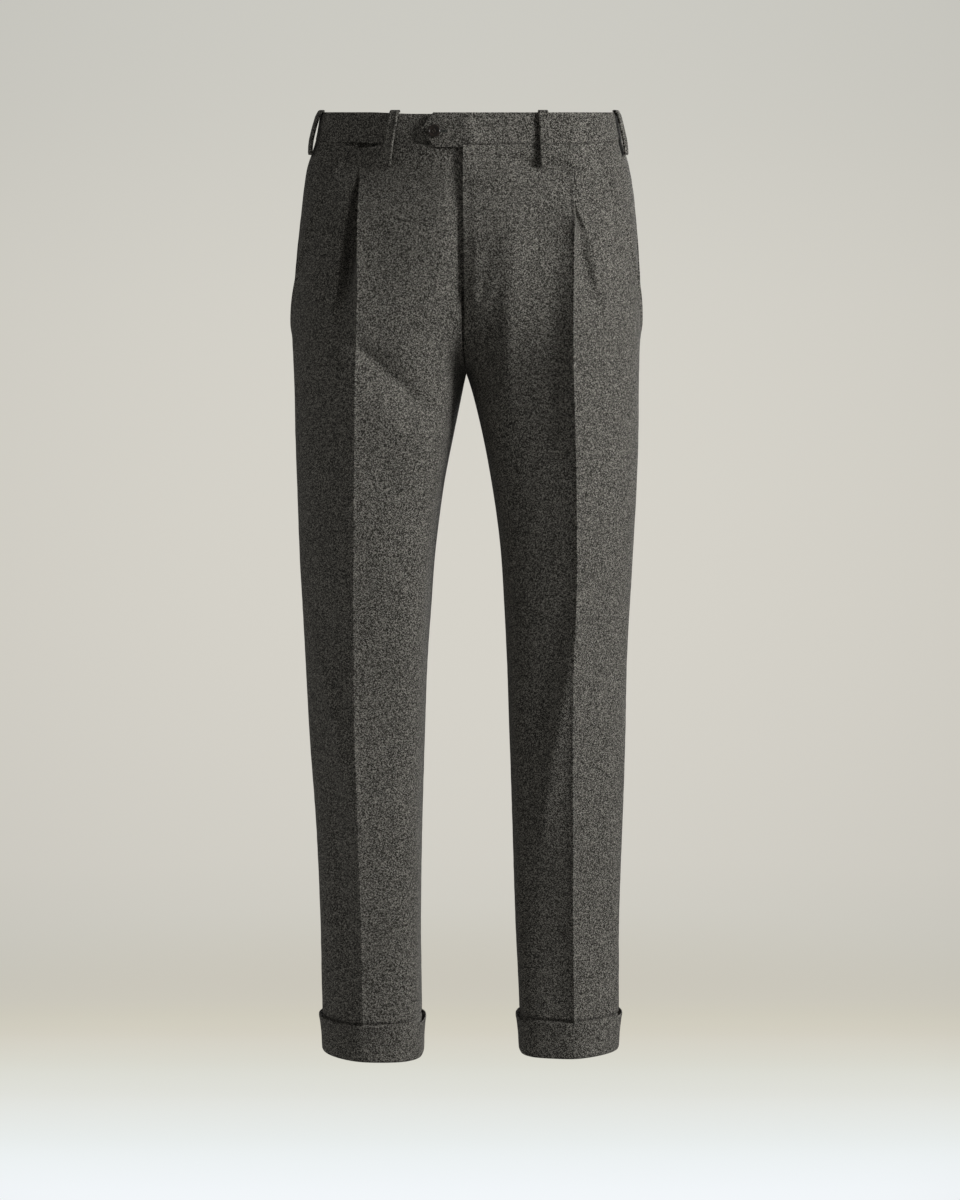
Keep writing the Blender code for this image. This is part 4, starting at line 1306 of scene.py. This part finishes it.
band = {
    "wall": 2.0,
    "out": 0.3,
    "belly": 0.45,
    "tabCornerX": -34,
    "tabPointX": -48,
    "tabRaise": 2.4,
    "tabRound": 0.0035,  # of its point
    "tabDrop": 3.4,  # the tab is deeper than the band
    "tabDropX": -2.6,
    "tabDropReach": 1.5,
    "topDip": 1.7,  # of the other end's top edge
    "topDipX": -105,
    "topDipReach": 50,
    "sideDrop": 0.6,  # closes the seam where it turns away
    "sideReach": 45,
    "dropRound": 3,  # how late the tab and the sides start to drop
    "raiseFromX": 36,
    "raiseToX": 8,
    "sinkFromX": -76,
    "sinkToX": -52,
    "underlapX": 1,
    "frontDepth": 60,
    "edgeRoll": 0.5,
    "rollWidth": 1.1,
    "seamX": 33,
    "seamDepth": 0.45,
    "seamWidth": 0.9,
    "drape": 0.22,
    "drapeSize": (38, 24),
    "drapeHeight": 30,
    "rim": 0.75,
    "columns": 170,
    "columnCrowding": 0.72,
    "rows": 16,
    "rowCrowding": 0.75,
}


# Where the tab ends, at a share of the band's height down from its top.
def tabEndX(share):
    towardsPoint = 1 - np.sqrt((2 * share - 1) ** 2 + band["tabRound"])
    return band["tabCornerX"] + (band["tabPointX"] - band["tabCornerX"]) * towardsPoint


# How far the band's front end stands out over the other one, or sinks under it.
def bandStep(side, x, y):
    rise = ease((band["raiseFromX"] - x) / (band["raiseFromX"] - band["raiseToX"]))
    sink = ease((x - band["sinkFromX"]) / (band["sinkToX"] - band["sinkFromX"]))
    return band["tabRaise"] * np.where(side > 0, rise, -sink) * ease(-y / band["frontDepth"])


def bandPoints(side, share, at, ring):
    base = along(ring, at)
    out = band["out"] + bandStep(side, base[:, 0], base[:, 1])
    out += band["belly"] * math.sin(math.pi * share)
    fromTop, fromBottom = share * waist["heightFront"], (1 - share) * waist["heightFront"]
    fromEnds = np.minimum(at - at.min(), at.max() - at)
    for distance in (fromTop, fromBottom, fromEnds):
        out -= band["edgeRoll"] * bell(distance, band["rollWidth"])
    if side > 0:
        fromSeam = np.abs(at - frontArc(ring, band["seamX"]))
        out -= band["seamDepth"] * bell(fromSeam, band["seamWidth"])
    down = at * 0 + band["drapeHeight"] * share
    out += softNoise(at, down, band["drapeSize"], seeds["waistband"] + side) * band["drape"]
    xy = ringPoints(ring, at, out)
    height = -share * bandHeight(base[:, 1]) + waistTilt(xy[:, 1], 0)
    height -= share ** band["dropRound"] * band["sideDrop"] * bell(base[:, 1], band["sideReach"])
    if side > 0:
        reach = (band["tabDropX"] - base[:, 0]) / band["tabDropReach"]
        height -= share ** band["dropRound"] * band["tabDrop"] * ease(reach)
    else:
        reach = (base[:, 0] - band["topDipX"]) / band["topDipReach"]
        height -= (1 - share) * band["topDip"] * ease(reach)
    return np.column_stack([xy, height])


def makeWaistbands():
    columns = crowded(band["columns"], band["columnCrowding"])
    for side in (-1, 1):
        rows, across = [], []
        length = arcsOf(waistRing(0))[-1]
        for share in crowded(band["rows"], band["rowCrowding"]):
            ring = waistRing(waist["seamZ"] * share)
            if side > 0:
                start, end = halfGap, frontArc(ring, tabEndX(share))
            else:
                start, end = arcsOf(ring)[-1] - halfGap, frontArc(ring, band["underlapX"])
            at = start + (end - start) * columns
            rows.append(bandPoints(side, share, at, ring))
            across.append(at * length / arcsOf(ring)[-1])
        shell(
            "waistband" + letter(side), rows, band["wall"], bandCloth,
            nodeOf("waistband", side), rim=band["rim"], across=np.array(across),
        )


# Turn-ups: an outer ply, the fold at the hem, and an inner ply up inside the leg.

turnup = {
    "lowZ": {-1: -1050.0, 1: -1048.6},
    "height": 40.5,
    "tilt": 0.025,
    "wall": 0.95,
    "columns": 240,
    "rounding": 8,
    "steps": 46,
    "seamDepth": 0.55,
    "seamWidth": 1.2,
    "drape": 0.25,
    "drapeSize": (26, 30),
    "lowestRing": -1050.0,  # where the tables of the form end
    "centreX": 115.0,
    # Distance out from the leg's cloth, and height above the hem.
    "profile": (
        (4.8, 40.5),
        (4.95, 39.3),
        (4.75, 37.5),
        (4.2, 34),
        (3.5, 27),
        (2.75, 18),
        (2.5, 9),
        (2.3, 4),
        (2.0, 1.2),
        (1.2, 0.0),
        (0.0, -0.35),
        (-1.0, 0.2),
        (-1.6, 1.8),
        (-1.75, 6),
        (-1.75, 20),
        (-1.75, 36),
    ),
}


def legRing(side, z, count):
    lines = {}
    for front, gap in ((True, -halfGap), (False, halfGap)):
        edge = (innerX(side, z), inseamY(z) + gap)
        lines[front] = (
            curve(outerQuarter(side, z, front)),
            curve(innerQuarter(side, z, edge, 90, front))[1:],
        )
    ring = np.concatenate([*lines[True], lines[False][1][::-1], lines[False][0][::-1]])
    at = np.linspace(0, arcsOf(ring)[-1], count, endpoint=False)
    return along(ring, at)


# Rounds a closed ring's corners, as a pressed crease is rounder in the double cloth.
def rounded(ring, width):
    spacing = np.linalg.norm(ring - np.roll(ring, 1, axis=0), axis=1).mean()
    reach = int(3 * width / spacing) + 1
    total, weights = np.zeros_like(ring), 0.0
    for shift in range(-reach, reach + 1):
        weight = bell(shift * spacing, width * math.sqrt(2))
        total += weight * np.roll(ring, shift, axis=0)
        weights += weight
    return total / weights


def makeTurnups():
    profile = smoothPath(turnup["profile"], turnup["steps"])
    count = turnup["columns"]
    for side in (-1, 1):
        rows = []
        for out, up in profile:
            z = turnup["lowZ"][side] + up
            ring = legRing(side, max(z, turnup["lowestRing"]), count)
            ring = rounded(ring, turnup["rounding"])
            step = np.roll(ring, -1, axis=0) - np.roll(ring, 1, axis=0)
            normals = unit(np.stack([step[:, 1], -step[:, 0]], axis=1))
            if ((ring - ring.mean(axis=0)) * normals).sum() < 0:
                normals = -normals
            steps = np.linalg.norm(ring - np.roll(ring, 1, axis=0), axis=1)
            at = np.cumsum(steps)
            outs = np.full(count, out)
            if out > 0:
                for seam in (at[0], at[count // 2]):
                    away = np.minimum(np.abs(at - seam), at[-1] - np.abs(at - seam))
                    outs -= turnup["seamDepth"] * bell(away, turnup["seamWidth"])
                drape = softNoise(at, 0 * at + up, turnup["drapeSize"], seeds["turnUp"] + side)
                outs += drape * turnup["drape"]
            ring = ring + normals * outs[:, None]
            height = z + turnup["tilt"] * (ring[:, 0] - creaseX(side, z))
            rows.append(np.column_stack([ring[:, 0] * side, ring[:, 1], height]))
        shell(
            "turnUp" + letter(side), rows, turnup["wall"], turnupCloth,
            nodeOf("turnup", side),
            closed=True, centreX=side * turnup["centreX"],
        )


# Belt loops: each hooks over the band's top edge and is tacked below its seam.

beltLoop = {
    "width": 10,
    "wall": 2.4,
    "crown": 0.7,
    "crownRound": 4,
    "bead": 0.5,
    "beadAt": 0.36,  # shares of the width
    "beadWidth": 0.07,
    "rim": 0.45,
    "rows": 64,
    "columns": 20,
    "crowding": 0.6,
    "sideX": 150,  # further out, a loop lies near the widest place
    "sideForward": {-1: 14, 1: 22},
    # Distance below the band's top edge, and out from the body.
    "path": (
        (-1.1, -0.3),
        (-1.7, 1.4),
        (-1.0, 3.0),
        (2.0, 4.0),
        (13, 4.8),
        (25, 5.2),
        (35, 5.0),
        (43, 4.4),
        (50, 3.6),
        (55.5, 2.6),
        (57, 1.9),
    ),
}

# Name, node, front or back, x at the top and the foot, depth, length and bulge.
beltLoops = (
    ("beltLoopFrontR", "belt_loop_front_r", True, -75, -84, -95, 57, 0),
    ("beltLoopFrontL", "belt_loop_front_l", True, 82, 84.5, -95, 57, 0),
    ("beltLoopSideR", "belt_loop_side_r", True, -170, -170, 0, 46, 2.2),
    ("beltLoopSideL", "belt_loop_side_l", True, 170, 170, 0, 46, 0.8),
    ("beltLoopBackR", "belt_loop_back_r", False, -88, -90, 95, 54, 0.5),
    ("beltLoopBackL", "belt_loop_back_l", False, 88, 90, 95, 54, 0.5),
    ("beltLoopBackCentre", "belt_loop_back_centre", False, 0, 0, 95, 54, 0.5),
)


# The table height that lies a distance below the band's top edge.
def bandLevel(below, y):
    height = float(bandHeight(np.array(y)))
    if below <= 0:
        return 0.0
    if below < height:
        return waist["seamZ"] * below / height
    return height - below + waist["seamZ"]


# How far round the ring a belt loop's middle lies.
def loopArc(ring, inFront, x):
    if abs(x) > beltLoop["sideX"]:
        widest = arcsOf(ring)[int(np.argmax(ring[:, 0] * np.sign(x)))]
        return float(widest + np.sign(x) * beltLoop["sideForward"][int(np.sign(x))])
    return float(frontArc(ring, x)) if inFront else backArc(ring, x)


def makeBeltLoops():
    across = crowded(beltLoop["columns"], beltLoop["crowding"]) - 0.5
    fromBead = np.abs(across) - beltLoop["beadAt"]
    total = beltLoop["path"][-1][0]
    for name, node, inFront, topX, footX, depth, length, bulge in beltLoops:
        rows = []
        for below, out in smoothPath(beltLoop["path"], beltLoop["rows"]):
            down = max(below / total, 0.0)
            belowTop = below * (length / total if below > 0 else 1)
            ring = waistRing(bandLevel(belowTop, depth))
            middle = loopArc(ring, inFront, topX + (footX - topX) * down)
            at = (middle + across * beltLoop["width"]) % arcsOf(ring)[-1]
            stand = out + bulge * math.sin(math.pi * down)
            outs = stand + beltLoop["crown"] * (1 - (2 * across) ** beltLoop["crownRound"])
            outs += beltLoop["bead"] * bell(fromBead, beltLoop["beadWidth"])
            xy = np.concatenate([ringPoints(ring, [a], [o]) for a, o in zip(at, outs)])
            height = -belowTop + waistTilt(xy[:, 1], bandLevel(belowTop, depth))
            rows.append(np.column_stack([xy, height]))
        shell(name, rows, beltLoop["wall"], loopCloth, node, rim=beltLoop["rim"])


print("Cutting and sewing")
makeFronts()
makeBacks()
makePocketFacings()
makeCoinPocket()
makeWaistbands()
makeTurnups()
makeBeltLoops()


# The button on the tab, its thread and its buttonhole.

button = {
    "radius": 6.9,
    "height": 2.8,
    "x": -33,
    "belowTop": 19.5,
    "holeRadius": 0.75,
    "holeOffset": 1.75,
    "holeSides": 16,
    "holeDepth": 8,
    "edgeAngle": 50,  # degrees, above which an edge stays sharp
    "steps": 72,
    "turned": -10,  # degrees that the holes are turned
    # Half section, as shares of the radius and the height.
    "profile": (
        (0.0, 0.52),
        (0.2, 0.525),
        (0.4, 0.55),
        (0.56, 0.62),
        (0.66, 0.78),
        (0.74, 0.94),
        (0.82, 1.0),
        (0.9, 0.97),
        (0.965, 0.84),
        (1.0, 0.62),
        (0.99, 0.38),
        (0.93, 0.16),
        (0.8, 0.03),
        (0.6, 0.0),
        (0.0, 0.0),
    ),
    "threadRadius": 0.42,
    "threadSteps": 15,
    "threadRise": 0.75,
    "threadRound": 0.6,
    "threadSink": 0.9,  # into the holes
    "threadTuck": 6,
    "bellyShare": 0.9,  # of the band's belly, at the button's height
    "faceStep": 4,  # to the points that show which way the tab faces
}

buttonhole = {
    "startX": -30,
    "endX": -19.5,
    "halfWidth": 0.75,
    "radius": 0.62,
    "stitch": 0.9,
    "swell": (0.72, 0.28),  # shares of the radius between two stitches, and added by each
    "step": 0.25,
    "lift": 0.1,
}

horn = {
    "shader": {"IOR": 1.54, "Coat Weight": 0.35, "Coat Roughness": 0.12},
    "stretch": (1, 3.2, 1),
    "marks": {"Scale": 320.0, "Detail": 5.0, "Distortion": 1.2},
    "colours": ((0.34, (0.007, 0.0045, 0.0035)), (0.72, (0.032, 0.019, 0.012))),
    "roughness": (0.2, 0.4),
}

thread = {
    "shader": {"Sheen Weight": 0.2},
    "twist": {"bands_direction": "DIAGONAL", "Scale": 420.0, "Distortion": 1.0},
    "roughness": (0.55, 0.8),
    "bumpStrength": 0.4,
    "bump": 0.1,
    "button": ((0.05, 0.04, 0.032), (0.16, 0.13, 0.1)),
    "buttonhole": ((0.008, 0.012, 0.008), (0.03, 0.036, 0.028)),
    "aside": (0.13, -1.0, 0.07),  # a way that no thread runs along
}


# A point on the tab's outer face, and the way it faces.
def onTab(x, belowTop, lift):
    z = -belowTop
    rest = band["out"] + band["tabRaise"] + band["wall"] / 2
    rest = rest + band["belly"] * button["bellyShare"] + lift

    def at(dx, dz):
        ring = waistRing(z + dz)
        xy = ringPoints(ring, [float(frontArc(ring, x + dx))], [rest])[0]
        return Vector((xy[0], xy[1], z + dz + float(waistTilt(xy[1], 0))))

    here = at(0, 0)
    step = button["faceStep"]
    face = (at(step, 0) - here).cross(at(0, step) - here).normalized()
    return here, face if face.y < 0 else -face


# A half section turned all the way round.
def turnedMesh(profile, steps):
    points, faces, rings = [], [], []
    for radius, height in profile:
        if radius < 1e-6:
            rings.append([len(points)] * steps)
            points.append((0, 0, height))
            continue
        rings.append(list(range(len(points), len(points) + steps)))
        for k in range(steps):
            angle = 2 * math.pi * k / steps
            points.append((radius * math.cos(angle), radius * math.sin(angle), height))
    for upper, lower in zip(rings, rings[1:]):
        for k in range(steps):
            after = (k + 1) % steps
            corners = [upper[k], lower[k], lower[after], upper[after]]
            faces.append(list(dict.fromkeys(corners)))
    return points, faces


# Colour and roughness that both follow one pattern.
def followPattern(tree, shader, pattern, colours, roughness):
    colour = rampOf(tree, pattern, colours)
    rough = mapRange(tree, pattern, "To", roughness)
    feedAll(tree, shader, {"Base Color": colour, "Roughness": rough})


def hornMaterial():
    made, tree, shader = newMaterial("Dark horn", horn["shader"])
    where = addNode(tree, "ShaderNodeTexCoord").outputs["Object"]
    stretched = addNode(tree, "ShaderNodeMapping", Scale=horn["stretch"], Vector=where).outputs[0]
    marks = addNode(tree, "ShaderNodeTexNoise", **horn["marks"], Vector=stretched)
    followPattern(tree, shader, marks.outputs["Fac"], horn["colours"], horn["roughness"])
    return made


def threadMaterial(name, dark, light):
    made, tree, shader = newMaterial(name, thread["shader"])
    where = addNode(tree, "ShaderNodeTexCoord").outputs["Object"]
    twist = addNode(tree, "ShaderNodeTexWave", **thread["twist"], Vector=where)
    pattern = twist.outputs["Fac"]
    followPattern(tree, shader, pattern, ((0, dark), (1, light)), thread["roughness"])
    normal = bumpOf(tree, pattern, thread["bumpStrength"], thread["bump"])
    feedAll(tree, shader, {"Normal": normal})
    return made


# A round thread along a path of points, with its radius at each.
def threadTube(name, path, radii, mat, closed=False):
    sides = 8
    path = np.array(path, float)
    count = len(path)
    if closed:
        tangents = unit(np.roll(path, -1, axis=0) - np.roll(path, 1, axis=0))
    else:
        tangents = unit(np.gradient(path, axis=0))
    aside = unit(np.cross(tangents, thread["aside"]))
    up = np.cross(tangents, aside)
    angles = np.arange(sides) * 2 * math.pi / sides
    ring = aside[:, None] * np.cos(angles)[:, None] + up[:, None] * np.sin(angles)[:, None]
    points = path[:, None] + ring * np.asarray(radii)[:, None, None]
    faces = []
    for row in range(count if closed else count - 1):
        after = (row + 1) % count
        for k in range(sides):
            j = (k + 1) % sides
            faces.append([row * sides + k, row * sides + j, after * sides + j, after * sides + k])
    if not closed:
        faces.append(list(range(sides))[::-1])
        faces.append([(count - 1) * sides + k for k in range(sides)])
    place(newMesh(name, points, faces, mat), [])


def makeButton():
    points, faces = turnedMesh(button["profile"], button["steps"])
    points = np.array(points) * (button["radius"], button["radius"], button["height"])
    disc = newMesh("tabButton", points, faces, hornMaterial())
    centre, face = onTab(button["x"], button["belowTop"], body["seamGap"])
    turn = face.to_track_quat("Z", "Y").to_matrix().to_4x4()
    stand = Matrix.Translation(centre * mm) @ turn
    cutters, holes = [], []
    for k in range(4):
        angle = math.radians(button["turned"] + 90 * k)
        offset = Vector((math.cos(angle), math.sin(angle), 0)) * button["holeOffset"]
        holes.append(offset)
        bpy.ops.mesh.primitive_cylinder_add(
            vertices=button["holeSides"], radius=button["holeRadius"] * mm,
            depth=button["holeDepth"] * mm, location=offset * mm,
        )
        cutters.append(bpy.context.object)
        hole = disc.modifiers.new("Hole", "BOOLEAN")
        hole.operation = "DIFFERENCE"
        hole.object = cutters[-1]
    bpy.context.view_layer.update()
    graph = bpy.context.evaluated_depsgraph_get()
    cut = bpy.data.meshes.new_from_object(disc.evaluated_get(graph))
    disc.modifiers.clear()
    disc.data = cut
    cut.set_sharp_from_angle(angle=math.radians(button["edgeAngle"]))
    for cutter in cutters:
        bpy.data.objects.remove(cutter)
    cut.transform(stand)
    place(disc, ["waist_button"])

    brown = threadMaterial("Button thread", *thread["button"])
    level = button["profile"][0][1] * button["height"]
    for number, (first, last) in enumerate(((0, 1), (3, 2)), start=1):
        start, end = holes[first], holes[last]
        path = []
        for t in np.linspace(0, 1, button["threadSteps"]):
            rise = button["threadRise"] * math.sin(math.pi * t) ** button["threadRound"]
            rise -= button["threadSink"] * (2 * t - 1) ** button["threadTuck"]
            spot = start.lerp(end, t)
            world = (stand @ Vector((spot.x * mm, spot.y * mm, (level + rise) * mm))) / mm
            path.append(tuple(world))
        radii = np.full(len(path), button["threadRadius"])
        threadTube(f"buttonThread{number}", path, radii, brown)


# Buttonhole stitches: a corded edge round the slit, swelling at each stitch.
def makeButtonhole():
    half = (buttonhole["endX"] - buttonhole["startX"]) / 2
    middle = (buttonhole["endX"] + buttonhole["startX"]) / 2
    straight = half - buttonhole["halfWidth"]
    length = 4 * straight + 2 * math.pi * buttonhole["halfWidth"]
    count = int(length / buttonhole["step"])
    least, added = buttonhole["swell"]
    path, radii = [], []
    for k in range(count):
        s = k / count * length
        x, up = slotPoint(s, straight, buttonhole["halfWidth"])
        spot = onTab(middle + x, button["belowTop"] - up, buttonhole["lift"])[0]
        path.append(tuple(spot))
        swell = abs(math.sin(math.pi * s / buttonhole["stitch"]))
        radii.append(buttonhole["radius"] * (least + added * swell))
    dark = threadMaterial("Buttonhole thread", *thread["buttonhole"])
    threadTube("buttonholeStitches", path, radii, dark, closed=True)


# A point at distance s round a long slot with round ends.
def slotPoint(s, straight, radius):
    turn = math.pi * radius
    if s < 2 * straight:
        return -straight + s, radius
    s -= 2 * straight
    if s < turn:
        return straight + radius * math.sin(s / radius), radius * math.cos(s / radius)
    s -= turn
    if s < 2 * straight:
        return straight - s, -radius
    s -= 2 * straight
    return -straight - radius * math.sin(s / radius), -radius * math.cos(s / radius)


makeButton()
makeButtonhole()
print("Button sewn on")


# Studio: a pale room, soft lights and the camera.

studio = {
    # From low to high, with the sine of the elevation.
    "wall": (
        (-0.24, (0.590, 0.570, 0.500)),
        (-0.20, (0.610, 0.595, 0.535)),
        (-0.165, (0.645, 0.625, 0.568)),
        (-0.06, (0.672, 0.650, 0.590)),
        (0.06, (0.660, 0.642, 0.585)),
        (0.12, (0.625, 0.612, 0.560)),
        (0.18, (0.600, 0.592, 0.545)),
    ),
    "edgeShade": 0.06,
    "edgeX": 0.19,
    # Painted light on the floor: its glowing colours from far to near, with the distance in front
    # of the object in metres.
    "floor": (
        (-0.62, (0.590, 0.565, 0.495)),
        (-0.48, (0.605, 0.580, 0.505)),
        (-0.38, (0.630, 0.605, 0.515)),
        (-0.27, (0.665, 0.640, 0.560)),
        (-0.12, (0.705, 0.705, 0.640)),
        (0.02, (0.755, 0.765, 0.725)),
        (0.20, (0.820, 0.855, 0.850)),
        (0.36, (0.885, 0.920, 0.945)),
        (0.70, (0.900, 0.935, 0.960)),
    ),
    "fill": 0.158,
    "fillColour": (1, 0.99, 0.96, 1),
    "floorZ": -1.105,
    "floorRadius": 2.4,
    "floorSides": 96,
    "floorFade": (0.5, 1.25),
    "lightsFace": (0, 0, -0.5),
}

camera = {
    "location": (0.01513, -2.75, -0.37675),
    "tilt": 86.57,
    "lens": 73.64,
    "sensor": 36,
}

# Name, azimuth from the camera's side and elevation in degrees, distance, size and power.
lights = (
    ("key", 61, 20, 3.2, 1.0, 66),
    ("rim", -86, -28, 1.4, 0.8, 1.0),
    ("back", 165, 30, 2.6, 1.8, 40),
)


# Colours along a value whose stops lie at the value's own numbers.
def roomRamp(tree, value, stops):
    low, high = stops[0][0], stops[-1][0]
    share = mapRange(tree, value, "From", (low, high))
    shares = [((position - low) / (high - low), colour) for position, colour in stops]
    return rampOf(tree, share, shares, "CARDINAL")


def makeWorld():
    world = bpy.data.worlds.new("Pale room")
    scene.world = world
    world.use_nodes = True
    tree = world.node_tree
    tree.nodes.clear()
    way = addNode(tree, "ShaderNodeTexCoord").outputs["Generated"]
    split = addNode(tree, "ShaderNodeSeparateXYZ", way)
    aside = mathNode(tree, "MULTIPLY", split.outputs["X"], 1 / studio["edgeX"])
    shade = mathNode(tree, "MULTIPLY", aside, aside)
    shade = mathNode(tree, "MULTIPLY", shade, studio["edgeShade"])
    glow = mathNode(tree, "SUBTRACT", 1.0, mathNode(tree, "MINIMUM", shade, studio["edgeShade"]))
    wall = roomRamp(tree, split.outputs["Z"], studio["wall"])
    shown = addNode(tree, "ShaderNodeBackground", wall, glow)
    lit = addNode(tree, "ShaderNodeBackground", studio["fillColour"], studio["fill"])
    seen = addNode(tree, "ShaderNodeLightPath").outputs["Is Camera Ray"]
    mix = addNode(tree, "ShaderNodeMixShader", seen, lit.outputs[0], shown.outputs[0])
    addNode(tree, "ShaderNodeOutputWorld", Surface=mix.outputs[0])


# The floor glows for camera rays only and lets every other ray through. Its colour ramp is painted
# light, darker and warmer far off and near white in front.
def floorMaterial():
    made, tree = newMaterial("Pale floor painted light", {})[:2]
    tree.nodes.clear()
    where = addNode(tree, "ShaderNodeTexCoord").outputs["Object"]
    split = addNode(tree, "ShaderNodeSeparateXYZ", where)
    forward = mathNode(tree, "MULTIPLY", split.outputs["Y"], -1.0)
    glow = addNode(tree, "ShaderNodeEmission", roomRamp(tree, forward, studio["floor"]))
    clear = addNode(tree, "ShaderNodeBsdfTransparent")
    away = addNode(tree, "ShaderNodeVectorMath", where, operation="LENGTH").outputs["Value"]
    fade = mapRange(tree, away, "From", studio["floorFade"], interpolation_type="SMOOTHSTEP")
    seen = addNode(tree, "ShaderNodeLightPath").outputs["Is Camera Ray"]
    cleared = mathNode(tree, "MAXIMUM", mathNode(tree, "SUBTRACT", 1.0, seen), fade)
    mix = addNode(tree, "ShaderNodeMixShader", cleared, glow.outputs[0], clear.outputs[0])
    addNode(tree, "ShaderNodeOutputMaterial", Surface=mix.outputs[0])
    return made


def makeFloor():
    mesh = bpy.data.meshes.new("floor")
    work = bmesh.new()
    sides, radius = studio["floorSides"], studio["floorRadius"]
    bmesh.ops.create_circle(work, cap_ends=True, segments=sides, radius=radius)
    work.to_mesh(mesh)
    work.free()
    mesh.materials.append(floorMaterial())
    floor = bpy.data.objects.new("floor", mesh)
    floor.location.z = studio["floorZ"]
    scene.collection.objects.link(floor)


def makeLights():
    target = Vector(studio["lightsFace"])
    for name, azimuth, elevation, distance, size, power in lights:
        data = bpy.data.lights.new(name, "AREA")
        data.shape = "DISK"
        data.size = size
        data.energy = power
        lamp = bpy.data.objects.new(name, data)
        a, e = math.radians(azimuth), math.radians(elevation)
        way = Vector((math.sin(a) * math.cos(e), -math.cos(a) * math.cos(e), math.sin(e)))
        lamp.location = target + way * distance
        lamp.rotation_euler = way.to_track_quat("Z", "Y").to_euler()
        lamp.visible_camera = False
        scene.collection.objects.link(lamp)


def makeCamera():
    data = bpy.data.cameras.new("view")
    data.lens = camera["lens"]
    data.sensor_width = camera["sensor"]
    eye = bpy.data.objects.new("view", data)
    eye.location = camera["location"]
    eye.rotation_euler = (math.radians(camera["tilt"]), 0, 0)
    scene.collection.objects.link(eye)
    scene.camera = eye


makeWorld()
makeFloor()
makeLights()
makeCamera()
scene.view_settings.view_transform = "Standard"
print("Studio ready")

bpy.context.view_layer.update()
